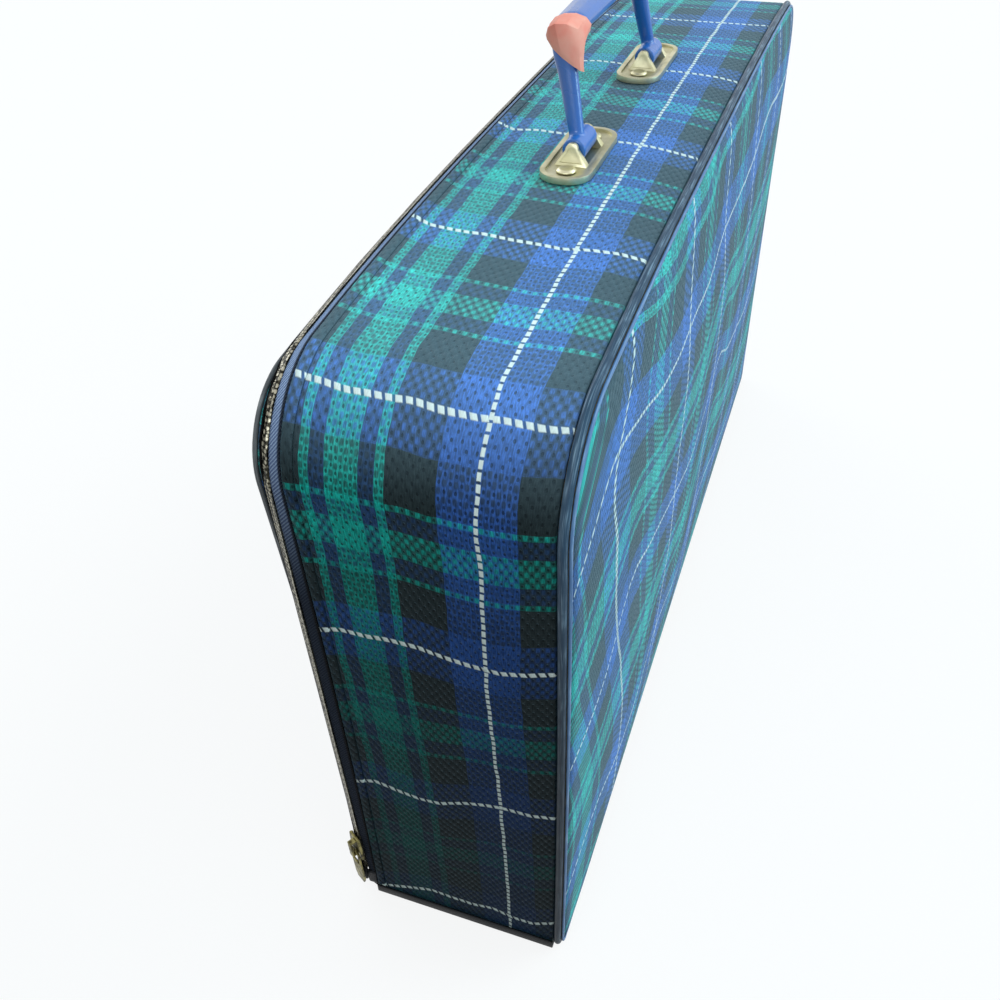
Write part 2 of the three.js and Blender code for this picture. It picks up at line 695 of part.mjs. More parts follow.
function buildCaseZip() {
  const outer = -GAP / 2;
  const edge = ZIP_TAPE_THICKNESS / 2;
  const foot = BOTTOM_LIP_HEIGHT;
  const strip = tape(CASE_SHAPE, outer, BAND_DEPTH, CHAIN_SHAPE, edge, TAPE_END_DEPTH, foot);
  add(suitcase, 'zip_tape_case', settle(strip), tapeCloth);
  add(suitcase, 'zip_teeth_case', settle(toothRow(0, CHAIN_DEPTH, 1)), zipMetal);
  add(suitcase, 'zip_stop_near', settle(bottomStop(-1)), zipMetal);
  add(suitcase, 'zip_stop_far', settle(bottomStop(1)), zipMetal);
}

// Lid: lining, board, crowned cloth, edge binding, its half of the zip and of the hinge
function buildLid() {
  const lid = new THREE.Group();
  const outline = loopStations(LID_SHAPE, LID_FOOT - LID_EDGE_INSET);
  const inset = LID_EDGE_INSET;
  const cover = pillowSheet(outline, inset, LID_COVER_DEPTH, COVER_THICKNESS, LID_PILLOW);
  const shrink = (more) => loopStations({
    halfLength: LID_SHAPE.halfLength - LID_BOARD_INSET - more,
    height: LID_SHAPE.height - LID_BOARD_INSET - more,
    radius: LID_SHAPE.radius - LID_BOARD_INSET - more,
  }, LID_FOOT + more);
  const liningBack = LID_LINING_DEPTH + LINING_THICKNESS;
  const stiffener = tray(shrink(0), LID_BOARD_DEPTH, LID_BOARD_DEPTH + BOARD_THICKNESS);
  const liner = tray(shrink(LINING_THICKNESS), LID_LINING_DEPTH, liningBack);
  const bindingDepth = LID_EDGE_DEPTH + GAP + LID_BINDING_RADIUS;
  const binding = sweep(archStations(LID_SHAPE, LID_FOOT),
    bead(LID_BINDING_RADIUS, -LID_BINDING_RADIUS - LID_BINDING_INSET, bindingDepth));
  const stripHalf = HALF_LENGTH - HINGE_END_MARGIN;
  const leafY = BAND_FRONT_Y + LID_LINING_DEPTH - GAP - HINGE_STRIP_THICKNESS;
  const leafLow = HINGE_Z + HINGE_STRIP_THICKNESS;
  const leafTop = leafLow + HINGE_STRIP_WIDTH;
  const leaf = block(-stripHalf, stripHalf, leafY, leafY + HINGE_STRIP_THICKNESS, leafLow, leafTop);
  const lidRow = toothRow(LID_ROW_PHASE_SHARE, CHAIN_DEPTH + CHAIN_WIDTH, -1);
  add(lid, 'lid_cover', settle(cover, true), tartan);
  add(lid, 'lid_board', settle(stiffener, true), board);
  add(lid, 'lid_lining', settle(liner, true), liningPaper);
  add(lid, 'lid_binding', settle(binding, true), vinyl);
  add(lid, 'zip_tape_lid', settle(lidTape()), tapeCloth);
  add(lid, 'zip_teeth_lid', settle(lidRow), zipMetal);
  add(lid, 'hinge_strip_lid', settle(leaf), vinyl);
  suitcase.add(lid);
  return lid;
}

// A long outline with round corners, centred on the origin
function roundedPlate(length, width, radius, thickness) {
  const x = length / 2;
  const y = width / 2;
  const shape = new THREE.Shape();
  shape.moveTo(-x + radius, -y);
  shape.lineTo(x - radius, -y);
  shape.absarc(x - radius, -y + radius, radius, -Math.PI / 2, 0);
  shape.absarc(x - radius, y - radius, radius, 0, Math.PI / 2);
  shape.absarc(-x + radius, y - radius, radius, Math.PI / 2, Math.PI);
  shape.absarc(-x + radius, -y + radius, radius, Math.PI, (Math.PI * 3) / 2);
  const settings = { depth: thickness, bevelEnabled: false, curveSegments: CORNER_STEPS };
  return new THREE.ExtrudeGeometry(shape, settings);
}

// Slants a piece of an ear outwards at its foot
function flared(geometry, side, isMoved) {
  const position = geometry.getAttribute('position');
  for (let i = 0; i < position.count; i += 1) {
    const shift = side * EAR_FLARE * (1 - position.getZ(i) / EAR_HEIGHT);
    if (isMoved(position.getX(i))) {
      position.setX(i, position.getX(i) + shift);
    }
  }
  return geometry;
}

// An ear that stands across X: a tapered tongue with a round head, drawn in the YZ plane
function earBlank(footWidth, topWidth, low, high, thickness) {
  const shape = new THREE.Shape();
  const head = topWidth / 2;
  shape.moveTo(-footWidth / 2, low);
  shape.lineTo(footWidth / 2, low);
  shape.lineTo(head, high - head);
  shape.absarc(0, high - head, head, 0, Math.PI);
  const settings = { depth: thickness, bevelEnabled: false, curveSegments: CORNER_STEPS };
  const tongue = new THREE.ExtrudeGeometry(shape, settings);
  return tongue.rotateX(Math.PI / 2).rotateZ(Math.PI / 2);
}

// A pressed metal mount: a rimmed plate with a slot, and two wedge-shaped ears, recessed on the
// outside, that hold the ends of the pin in blind holes
function handlePlate() {
  const base = roundedPlate(PLATE_LENGTH, PLATE_WIDTH, PLATE_END_RADIUS, PLATE_THICKNESS);
  const rimTop = PLATE_THICKNESS + PLATE_RIM_HEIGHT;
  const rimOuter = roundedPlate(PLATE_LENGTH, PLATE_WIDTH, PLATE_END_RADIUS, rimTop);
  const inner = PLATE_RIM_WIDTH * 2;
  const rimInner = roundedPlate(PLATE_LENGTH - inner, PLATE_WIDTH - inner,
    PLATE_END_RADIUS - PLATE_RIM_WIDTH, rimTop + OVERRUN);
  const rim = cut(rimOuter, rimInner.translate(0, 0, PLATE_THICKNESS / 2));
  const slot = block(-EAR_INNER, EAR_INNER, -SLOT_WIDTH / 2, SLOT_WIDTH / 2, -OVERRUN, rimTop);
  const pieces = [];
  const recesses = [];
  for (const side of [-1, 1]) {
    const middle = side * (EAR_INNER + EAR_THICKNESS / 2);
    const root = PLATE_THICKNESS / 2;
    const ear = earBlank(EAR_FOOT_WIDTH, EAR_TOP_WIDTH, root, EAR_HEIGHT, EAR_THICKNESS);
    ear.translate(middle - EAR_THICKNESS / 2, 0, 0);
    pieces.push(flared(ear, side, (x) => Math.abs(x) > Math.abs(middle)));
    const low = PLATE_THICKNESS + PLATE_RIM_HEIGHT;
    const pocketFoot = EAR_FOOT_WIDTH - EAR_SIDE_RIM * 2;
    const pocket = earBlank(pocketFoot, EAR_TOP_WIDTH - EAR_RIM, low,
      EAR_HEIGHT - EAR_RIM, EAR_RECESS_DEPTH + OVERRUN);
    const start = side > 0 ? EAR_THICKNESS / 2 - EAR_RECESS_DEPTH : -EAR_THICKNESS / 2 - OVERRUN;
    pocket.translate(middle + start, 0, 0);
    recesses.push(flared(pocket, side, () => true));
  }
  const reach = EAR_INNER + PIN_SEAT_DEPTH + GAP;
  const pinHole = rod(-reach, reach, 0, PIN_HEIGHT, PIN_RADIUS + PIN_CLEARANCE);
  const holes = [-1, 1].map((end) => post(end * RIVET_OFFSET, 0, HOLE_RADIUS, -OVERRUN, rimTop));
  return cut(join(cut(base, slot), rim, ...pieces), ...recesses, pinHole, ...holes);
}

// A rivet with a dimpled head above the mount and a spread tail under the backing plate
function rivet(x) {
  const headBase = PLATE_BASE_Z + PLATE_THICKNESS + GAP;
  const headTop = headBase + RIVET_HEAD_HEIGHT;
  const tailTop = BACKING_TOP_Z - BACKING_THICKNESS - GAP;
  const dimpleRadius = RIVET_HEAD_RADIUS - RIVET_HEAD_HEIGHT;
  const profile = [
    [0, tailTop - RIVET_TAIL_THICKNESS],
    [RIVET_TAIL_RADIUS, tailTop - RIVET_TAIL_THICKNESS],
    [RIVET_TAIL_RADIUS, tailTop],
    [RIVET_SHANK_RADIUS, tailTop],
    [RIVET_SHANK_RADIUS, headBase],
    [RIVET_HEAD_RADIUS, headBase],
    [RIVET_HEAD_RADIUS, headTop - RIVET_DIMPLE_DEPTH],
    [dimpleRadius, headTop],
    [0, headTop - RIVET_DIMPLE_DEPTH],
  ];
  const points = profile.map(([r, z]) => new THREE.Vector2(r, z));
  const lathe = mergeVertices(stripNormals(new THREE.LatheGeometry(points, ROUND_SIDES)));
  const positions = Array.from(lathe.getAttribute('position').array);
  const turned = outward(new THREE.BufferGeometry(), positions, dropSlivers(lathe));
  return turned.rotateX(Math.PI / 2).translate(x, HANDLE_Y, 0);
}

function stripNormals(geometry) {
  geometry.deleteAttribute('normal');
  geometry.deleteAttribute('uv');
  return geometry;
}

// Triangles that closed up to a line on the axis are left out
function dropSlivers(geometry) {
  const index = geometry.getIndex().array;
  const kept = [];
  for (let i = 0; i < index.length; i += 3) {
    const [a, b, c] = [index[i], index[i + 1], index[i + 2]];
    if (a !== b && b !== c && c !== a) {
      kept.push(a, b, c);
    }
  }
  return kept;
}

function backingPlate() {
  const x = PLATE_LENGTH / 2 - BACKING_MARGIN;
  const y = PLATE_WIDTH / 2 - BACKING_MARGIN;
  const plate = block(-x, x, -y, y, -BACKING_THICKNESS, 0);
  const holes = [-1, 1].map((end) => {
    return post(end * RIVET_OFFSET, 0, HOLE_RADIUS, -BACKING_THICKNESS - OVERRUN, OVERRUN);
  });
  return cut(plate, ...holes);
}

function buildHandleMounts() {
  for (const [side, word] of [[-1, 'near'], [1, 'far']]) {
    const x = side * HALF_SPACING;
    const plate = add(suitcase, `handle_plate_${word}`, handlePlate(), nickel);
    plate.position.set(x, HANDLE_Y, PLATE_BASE_Z);
    const backing = add(suitcase, `handle_backing_${word}`, backingPlate(), steel);
    backing.position.set(x, HANDLE_Y, BACKING_TOP_Z);
    const reach = EAR_INNER + PIN_SEAT_DEPTH;
    const pin = rod(x - reach, x + reach, HANDLE_Y, PIN_Z, PIN_RADIUS);
    add(suitcase, `handle_pin_${word}`, pin, steel);
    add(suitcase, `rivet_${word}_outer`, rivet(x + side * RIVET_OFFSET), nickel);
    add(suitcase, `rivet_${word}_inner`, rivet(x - side * RIVET_OFFSET), nickel);
  }
}

// Middle line of the handle, up one leg, round the bend and along half of the grip. Swell says
// how far the section has grown there from the leg's size to the grip's.
function gripLine() {
  const footX = HALF_SPACING + LEG_OUTSET;
  const legX = footX - LEG_TOE_IN;
  const topZ = GRIP_CLEAR_HEIGHT + GRIP_THICKNESS / 2;
  const bendZ = topZ - GRIP_BEND_RADIUS;
  const line = [];
  for (let i = 0; i <= END_STEPS; i += 1) {
    const share = i / END_STEPS;
    const x = THREE.MathUtils.lerp(-footX, -legX, share);
    line.push({ x, z: bendZ * share, angle: 0, swell: share * LEG_SWELL_SHARE });
  }
  for (let i = 1; i <= CORNER_STEPS; i += 1) {
    const share = i / CORNER_STEPS;
    const angle = (Math.PI / 2) * share;
    line.push({
      x: -legX + GRIP_BEND_RADIUS * (1 - Math.cos(angle)),
      z: bendZ + GRIP_BEND_RADIUS * Math.sin(angle),
      angle,
      swell: THREE.MathUtils.lerp(LEG_SWELL_SHARE, BEND_SWELL_SHARE, share),
    });
  }
  for (let i = 1; i <= TOP_STEPS / 4; i += 1) {
    const share = i / (TOP_STEPS / 4);
    const x = (GRIP_BEND_RADIUS - legX) * (1 - share);
    const swell = THREE.MathUtils.lerp(BEND_SWELL_SHARE, 1, share);
    line.push({ x, z: topZ, angle: Math.PI / 2, swell });
  }
  return line;
}

// A ring of the handle's flattened section at a point of its middle line
function gripRing({ x, z, angle, swell }, grow, mirror) {
  const halfThick = THREE.MathUtils.lerp(LEG_THICKNESS, GRIP_THICKNESS, swell) / 2 + grow;
  const halfWide = THREE.MathUtils.lerp(LEG_WIDTH, GRIP_WIDTH, swell) / 2 + grow;
  return Array.from({ length: GRIP_SIDES }, (unused, k) => {
    const turn = (2 * Math.PI * k) / GRIP_SIDES;
    const out = halfThick * Math.cos(turn);
    const px = x - out * Math.cos(angle);
    return [mirror ? -px : px, halfWide * Math.sin(turn), z + out * Math.sin(angle)];
  });
}

function handleGrip() {
  const line = gripLine();
  const rings = line.map((station) => gripRing(station, 0, false));
  const mirrored = line.slice(0, -1).reverse().map((station) => gripRing(station, 0, true));
  const bow = loft([...rings, ...mirrored], false);
  const half = KNUCKLE_LENGTH / 2;
  const knuckles = [];
  const bores = [];
  for (const side of [-1, 1]) {
    const x = side * HALF_SPACING;
    knuckles.push(rod(x - half, x + half, 0, 0, KNUCKLE_RADIUS));
    const boreHalf = half + LEG_OUTSET;
    bores.push(rod(x - boreHalf, x + boreHalf, 0, 0, PIN_RADIUS + PIN_CLEARANCE));
  }
  return cut(join(bow, ...knuckles), ...bores);
}

// The tag's ring is the handle's, slack on the front side, and on the outer side standing off
// towards the sharp corner that the bend rounds
function tagRing(station, grow) {
  const { angle } = station;
  const corner = 1 / Math.max(Math.cos(angle), Math.sin(angle)) - 1;
  const standOff = TAG_SQUARE_SHARE * corner * (GRIP_BEND_RADIUS + GRIP_THICKNESS / 2);
  return gripRing(station, grow, false).map(([x, y, z], k) => {
    const turn = (2 * Math.PI * k) / GRIP_SIDES;
    const out = standOff * Math.max(0, Math.cos(turn));
    const slack = TAG_SLACK * Math.max(0, -Math.sin(turn));
    return [x - out * Math.cos(angle), y - slack, z + out * Math.sin(angle)];
  });
}

// The tag is a sleeve of paper over the near leg and bend, its lower end cut on the slant
function handleTag() {
  const stretch = gripLine().filter(({ x, z }) => z >= TAG_LOW && x <= TAG_REACH - HALF_SPACING);
  const inner = loft(extended(stretch).map((s) => tagRing(s, GAP)), false);
  const outer = loft(stretch.map((s) => tagRing(s, GAP + TAG_THICKNESS)), false);
  const reach = TAG_CUT_REACH;
  const below = block(-reach, reach, -reach, reach, -reach, 0);
  below.rotateX(THREE.MathUtils.degToRad(TAG_CUT_SLANT));
  below.translate(-HALF_SPACING, 0, TAG_CUT_HEIGHT);
  return cut(outer, inner, below);
}

// The same stations with both ends run on a little, so that a cut goes right through
function extended(stretch) {
  const run = (from, to) => ({
    ...to,
    x: to.x + (to.x - from.x) * (OVERRUN / Math.hypot(to.x - from.x, to.z - from.z)),
    z: to.z + (to.z - from.z) * (OVERRUN / Math.hypot(to.x - from.x, to.z - from.z)),
  });
  const last = stretch.length - 1;
  return [run(stretch[1], stretch[0]), ...stretch, run(stretch[last - 1], stretch[last])];
}

function buildHandle() {
  const handle = new THREE.Group();
  add(handle, 'handle_grip', handleGrip(), blueVinyl);
  add(handle, 'handle_tag', handleTag(), coralPaper);
  handle.position.set(0, HANDLE_Y, PIN_Z);
  handle.rotation.x = -THREE.MathUtils.degToRad(HANDLE_LEAN);
  suitcase.add(handle);
}

// Slider pieces are drawn lying on the near end: x away from the case, y across, z along
function sliderPlate(low, high, width, noseWidth) {
  const shape = new THREE.Shape();
  const half = SLIDER_LENGTH / 2;
  shape.moveTo(-noseWidth / 2, half);
  shape.lineTo(noseWidth / 2, half);
  shape.lineTo(width / 2, 0);
  shape.lineTo(width / 2, -half + SLIDER_PLATE);
  shape.lineTo(width / 2 - SLIDER_PLATE, -half);
  shape.lineTo(-width / 2 + SLIDER_PLATE, -half);
  shape.lineTo(-width / 2, -half + SLIDER_PLATE);
  shape.lineTo(-width / 2, 0);
  const plate = new THREE.ExtrudeGeometry(shape, { depth: high - low, bevelEnabled: false });
  return plate.rotateX(Math.PI / 2).rotateZ(Math.PI / 2).translate(-high, 0, 0);
}

// The slider rides on the lid's row of teeth. It has a flange on that side only, beside its nose
// half, and its inner plate stands a little off and towards the lid's tape, so that the case's
// row can leave it when the lid swings open.
function buildSlider(lid) {
  const slider = new THREE.Group();
  const face = TOOTH_THICKNESS / 2 + SLIDER_CLEARANCE;
  const outerFace = face + SLIDER_PLATE;
  const plate = sliderPlate(face, outerFace, SLIDER_WIDTH, SLIDER_NOSE_WIDTH);
  const backLow = -SLIDER_BACK_DROP - SLIDER_PLATE;
  const back = sliderPlate(backLow, -SLIDER_BACK_DROP, SLIDER_BACK_WIDTH, SLIDER_BACK_NOSE_WIDTH);
  back.translate(0, SLIDER_BACK_SHIFT, 0);
  const flangeLow = ZIP_TAPE_THICKNESS / 2 + SLIDER_CLEARANCE;
  const flangeY = CHAIN_WIDTH / 2 + TOOTH_THICKNESS / 2 + GAP / 2;
  const flangeHigh = SLIDER_LENGTH / 2 - SLIDER_PLATE;
  const flangeLowEnd = -flangeHigh * SLIDER_FLANGE_LOW_SHARE;
  const flangeTop = outerFace - SLIDER_PLATE / 2;
  const flangeEnd = flangeY + SLIDER_FLANGE;
  const flange = block(-flangeTop, -flangeLow, flangeY, flangeEnd, flangeLowEnd, flangeHigh);
  const strap = outerFace + BRIDGE_OPENING + BRIDGE_THICKNESS;
  const bridge = cut(
    block(-strap, -outerFace + SLIDER_PLATE / 2, -BRIDGE_WIDTH / 2, BRIDGE_WIDTH / 2,
      -BRIDGE_LENGTH / 2, BRIDGE_LENGTH / 2),
    block(-outerFace - BRIDGE_OPENING, -outerFace, -BRIDGE_WIDTH, BRIDGE_WIDTH,
      -BRIDGE_LENGTH / 2 + BRIDGE_THICKNESS, BRIDGE_LENGTH / 2 - BRIDGE_THICKNESS),
  );
  add(slider, 'slider_body', join(plate, flange, bridge), brass);
  add(slider, 'slider_back', back, brass);
  add(slider, 'zip_pull', zipPull(outerFace), brass);
  const chainMiddle = CHAIN_DEPTH + CHAIN_WIDTH / 2;
  const narrowing = (FOOT_TAPER / BAND_DEPTH) * (1 - SLIDER_HEIGHT_AT_REST / CASE_HEIGHT);
  const y = BAND_FRONT_Y + chainMiddle * (1 - narrowing);
  slider.position.set(fallen(chainMiddle) - CHAIN_SHAPE.halfLength, y, SLIDER_HEIGHT_AT_REST);
  slider.rotation.set(-chainTilt(), 0, -Math.atan(CHAIN_FALL_SHARE));
  lid.add(slider);
}

// The chain leans back by this angle as it climbs the near end
function chainTilt() {
  const chainMiddle = CHAIN_DEPTH + CHAIN_WIDTH / 2;
  return Math.atan((chainMiddle * FOOT_TAPER) / (BAND_DEPTH * CASE_HEIGHT));
}

// A flat pull that hangs from a crossbar inside the slider's bridge
function zipPull(outerFace) {
  const barX = outerFace + BRIDGE_OPENING / 2;
  const barZ = -BRIDGE_LENGTH / 2 + BRIDGE_THICKNESS + PULL_THICKNESS;
  const half = PULL_WIDTH / 2;
  const shape = new THREE.Shape();
  const top = barZ + PULL_THICKNESS / 2;
  const bottom = top - PULL_LENGTH;
  shape.moveTo(-half, top);
  shape.lineTo(half, top);
  shape.lineTo(half, bottom + half);
  shape.lineTo(PULL_TIP_WIDTH / 2, bottom);
  shape.lineTo(-PULL_TIP_WIDTH / 2, bottom);
  shape.lineTo(-half, bottom + half);
  const eye = new THREE.Path();
  const eyeHalf = half - PULL_ARM;
  const eyeTop = barZ - PULL_THICKNESS / 2;
  eye.moveTo(-eyeHalf, eyeTop);
  eye.lineTo(-eyeHalf, eyeTop - PULL_EYE_LENGTH);
  eye.lineTo(eyeHalf, eyeTop - PULL_EYE_LENGTH);
  eye.lineTo(eyeHalf, eyeTop);
  shape.holes.push(eye);
  const tab = new THREE.ExtrudeGeometry(shape, { depth: PULL_THICKNESS, bevelEnabled: false });
  return tab.rotateX(Math.PI / 2).rotateZ(Math.PI / 2).translate(-barX - PULL_THICKNESS / 2, 0, 0);
}

buildFront();
buildBand();
buildBottom();
buildLining();
buildCaseZip();
buildHandleMounts();
buildHandle();
buildSlider(buildLid());

export default suitcase;
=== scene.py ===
# Looks of a small tartan suitcase with a zip round three sides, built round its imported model.
# Metres, +Z up, X along the case, the plain front face towards -Y, the lid towards +Y.

import math
from contextlib import contextmanager

import bpy
import numpy as np
from mathutils import Matrix, Vector


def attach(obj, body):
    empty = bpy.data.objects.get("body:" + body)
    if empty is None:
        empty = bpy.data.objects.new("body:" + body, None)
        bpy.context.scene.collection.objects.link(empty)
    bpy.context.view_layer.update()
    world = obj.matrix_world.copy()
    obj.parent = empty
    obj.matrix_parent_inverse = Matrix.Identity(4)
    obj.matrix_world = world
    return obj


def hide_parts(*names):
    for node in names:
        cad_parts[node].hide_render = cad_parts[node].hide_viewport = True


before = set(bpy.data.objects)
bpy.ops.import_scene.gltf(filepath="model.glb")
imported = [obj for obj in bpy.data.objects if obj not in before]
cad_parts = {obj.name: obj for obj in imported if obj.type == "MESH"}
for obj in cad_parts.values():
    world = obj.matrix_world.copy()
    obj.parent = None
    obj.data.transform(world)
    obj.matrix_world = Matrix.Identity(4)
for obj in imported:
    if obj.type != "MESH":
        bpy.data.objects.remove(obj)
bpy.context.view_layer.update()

MM = 0.001

# Sizes of the case in millimetres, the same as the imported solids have
CASE_LENGTH = 470
CASE_HEIGHT = 270
HALF_LENGTH = CASE_LENGTH / 2
BAND_DEPTH = 95
BAND_FRONT_Y = -50
CORNER_RADIUS = 36
FOOT_RADIUS = 5
TOP_CROWN = 9
END_DRAW_IN = 2.6
FOOT_TAPER = 6.2
FRONT_PILLOW = 7
LID_PILLOW = 4.5
CLOTH = 1.1
TAPE_WIDTH = 4.2
CHAIN_STEP_IN = 2
CHAIN_DROP = 3.2
CHAIN_RADIUS = 33
LID_DRAW_IN = 7
LID_DRAW_LOW = 0.5
LID_STEP_OUT = 0.5
LID_DROP = 5.5
LID_RADIUS = 30

# Trim, in millimetres: radius, place outwards of the case's outline, depth behind its front
PIPING = (1.6, -0.3, 3.1)
RIM = (0.6, -1.2, 0.75)
LID_CORD = (0.8, -2.1, 104.9)

# Heights at which the parts begin, and depths between which others lie, in millimetres
OUTLINE_FOOT = 1.6
CLOTH_FOOT = 1.5
LID_CLOTH_FOOT = 1.2
LID_CORD_FOOT = 4.2
TAPE_FOOT = 2.0
WRAP_FOOT = 0.4
LID_CLOTH_DEPTH = 105.0
CLOTH_EDGE_DEPTH = 6.2
CLOTH_BACK_DEPTH = 89.4
TAPE_BACK_DEPTH = 99.2
CASE_WRAP_DEPTHS = (94.9, 99.6)
LID_WRAP_DEPTHS = (100.6, 104.4)

# Steps along one end, round one corner and along half of the top
STEPS = (30, 18, 40)
FINE_STEPS = (60, 36, 90)
FACE_STEPS = (24, 14, 36)
TAPE_STEPS = (60, 30, 60)

# Tartan: stripes on one side of a white line, counted in threads, up to the middle of the
# wide green stripe
THREAD_ACROSS = 1.7
THREAD_ALONG = 2.35
WARP_STRIPES = (("blue", 7.5), ("charcoal", 10), ("green", 2), ("navy", 3), ("green", 3.5))
WEFT_STRIPES = (("blue", 5.5), ("charcoal", 7), ("green", 1), ("navy", 3), ("green", 2.5))
WARP_REPEAT = 2 * THREAD_ACROSS * sum(count for _, count in WARP_STRIPES)
WEFT_REPEAT = 2 * THREAD_ALONG * sum(count for _, count in WEFT_STRIPES)
LONG_WHITE_WIDTH = 1.45
LONG_DASH_PITCH = 3.2
CROSS_WHITE_WIDTH = 2.1
# How wide the band is that a thread wanders in, and the dyes of the yarns
THREAD_DRIFT = 1.6
YARNS = {
    "blue": "#3662b4", "charcoal": "#242e30", "green": "#1eb4a6", "navy": "#2a4872",
    "white": "#eaf6f2",
}
# Painted sheen: a pale tint added to every dye on top; and painted shade: how much of the dye's
# colour is left at the foot
PAINTED_SHEEN_TINT = "#4b5e68"
PAINTED_FOOT_LEVEL = 0.08
# Patches of wear, and ribs and fuzz of the zip tape
PATCH_SIZE = 22
RIB_PITCH = 1.4
FUZZ_SIZE = 0.6

# How the cloth was laid on the case, in millimetres, where its lines aren't straight.
# Across the band: where each cross line lies, from the near foot, at each depth
BAND_DEPTHS = (5, 15, 25, 35, 45, 55, 65, 75, 85, 95)
BAND_LINES = (
    (19, 13, 13, 15, 13, 13, 14, 11, 7, 3),
    (96, 93, 93, 91, 88, 83, 82, 83, 85, 81),
    (180, 176, 173, 173, 174, 176, 176, 175, 175, 172),
    (272, 271, 271, 271, 271, 272, 272, 272, 273, 274),
    (357, 360, 360, 358, 359, 360, 361, 361, 363, 368),
    (443, 447, 450, 452, 452, 453, 455, 456, 454, 460),
    (535, 540, 542, 543, 543, 545, 549, 550, 547, 546),
    (632,) * 10, (722,) * 10, (812,) * 10, (901,) * 10, (985,) * 10,
)
# Along the band: how deep the long line lies
LONG_LINE_PLACES = (0, 40, 80, 110, 140, 165, 190, 215, 240)
LONG_LINE_DEPTHS = (26.2, 26.8, 27.8, 28.7, 30.0, 30.6, 30.2, 29.4, 29.8)
# On the front: height of each long line at places along it, and place of each cross line
# at heights
FRONT_PLACES = (-235, -200, -170, -140, -110, -80, -50, -20, 10, 40, 70, 100, 160, 235)
FRONT_LONG_LINES = (
    (40, 59, 57, 62, 76, 70, 61, 78, 79, 70, 62, 55, 50, 50),
    (124, 137, 163, 158, 151, 143, 138, 145, 155, 142, 137, 130, 128, 128),
    (213, 240, 237, 228, 223, 224, 223, 230, 230, 230, 232, 237, 236, 236),
)
FRONT_HEIGHTS = (0, 40, 80, 120, 160, 200, 240, 262)
FRONT_CROSS_LINES = (
    (-180, -172, -167, -175, -187, -192, -194, -170),
    (-130, -120, -107, -93, -93, -88, -88, -77),
    (-50, -35, -20, -10, -5, -6, -14, 1),
    (30, 45, 60, 70, 75, 68, 70, 86),
    (110, 115, 115, 115, 115, 118, 144, 155),
    (205,) * 8,
)

# Camera, solved from the photograph's straight edges
CAMERA_PLACE = (-437.3, -107.1, 437.2)
CAMERA_YAW = 0.3690
CAMERA_PITCH = -0.7054
CAMERA_ROLL = -0.0405
CAMERA_LENS = 36.5

# Light from over the front, away from the near end, which lies in shade
BRIGHT_SKY = (0.6, -0.5, 0.62)


def deselect():
    bpy.ops.object.select_all(action="DESELECT")


def pick(piece):
    """Makes a piece the only one that is selected, and the active one."""
    deselect()
    piece.select_set(True)
    bpy.context.view_layer.objects.active = piece


@contextmanager
def editing(piece):
    """Edit mode with the whole of one piece selected."""
    pick(piece)
    bpy.ops.object.mode_set(mode="EDIT")
    bpy.ops.mesh.select_all(action="SELECT")
    yield
    bpy.ops.object.mode_set(mode="OBJECT")


# Shape of the case
def crown_at(x):
    """How far the top bulges up at a place along the case."""
    return TOP_CROWN * (1 - (abs(x) / HALF_LENGTH) ** 3)


def settle(x, y, z, on_lid=False):
    """Draws a point of the square model into the real shape: crowned, dipped and tapered."""
    depth = y - BAND_FRONT_Y
    up = z * 2 / CASE_HEIGHT - 1
    new_z = z + crown_at(x) * min(max(up, 0), 1)
    past_band = min(max((depth - BAND_DEPTH) / TAPE_WIDTH, 0), 1)
    if on_lid:
        draw_in = LID_DRAW_IN * (1 - LID_DRAW_LOW * up)
    else:
        draw_in = END_DRAW_IN * (1 - past_band)
    new_x = x - math.copysign(1, x) * draw_in * (1 - up * up) * (x / HALF_LENGTH) ** 2
    narrowing = FOOT_TAPER / BAND_DEPTH * (1 - new_z / CASE_HEIGHT)
    return new_x, BAND_FRONT_Y + depth * (1 - narrowing), new_z


def half_arch(half_length, height, radius, foot, steps):
    """Stations from the near foot to the middle of the top: x, z and the outward direction."""
    end_steps, corner_steps, top_steps = steps
    shoulder = height - radius
    straight = half_length - radius
    found = []
    for i in range(end_steps):
        found.append((-half_length, foot + (shoulder - foot) * i / end_steps, -1, 0))
    for i in range(corner_steps):
        angle = math.pi - math.pi / 2 * i / corner_steps
        c, s = math.cos(angle), math.sin(angle)
        found.append((-straight + radius * c, shoulder + radius * s, c, s))
    for i in range(top_steps):
        found.append((-straight * (1 - i / top_steps), height, 0, 1))
    return found


def arch(half_length, height, radius, foot, steps=STEPS):
    half = half_arch(half_length, height, radius, foot, steps)
    mirrored = [(-x, z, -nx, nz) for x, z, nx, nz in reversed(half)]
    return half + [(0, height, 0, 1)] + mirrored


def loop(half_length, height, radius, foot, steps=STEPS):
    """The arch closed by a straight foot with small round corners."""
    straight = half_length - FOOT_RADIUS
    bottom = []
    for i in range(4):
        angle = -math.pi / 2 * (i + 1) / 5
        c, s = math.cos(angle), math.sin(angle)
        bottom.append((straight + FOOT_RADIUS * c, foot + FOOT_RADIUS * (1 + s), c, s))
    for i in range(17):
        bottom.append((straight * (1 - i / 8), foot, 0, -1))
    for i in range(4):
        angle = -math.pi / 2 * (4 - i) / 5
        c, s = -math.cos(angle), math.sin(angle)
        bottom.append((-straight + FOOT_RADIUS * c, foot + FOOT_RADIUS * (1 + s), c, s))
    return arch(half_length, height, radius, foot + FOOT_RADIUS, steps) + bottom


def lengths(stations):
    """Distance along the stations from the first one, in millimetres."""
    flat = np.array([(s[0], s[1]) for s in stations])
    return np.concatenate([[0], np.cumsum(np.linalg.norm(np.diff(flat, axis=0), axis=1))])


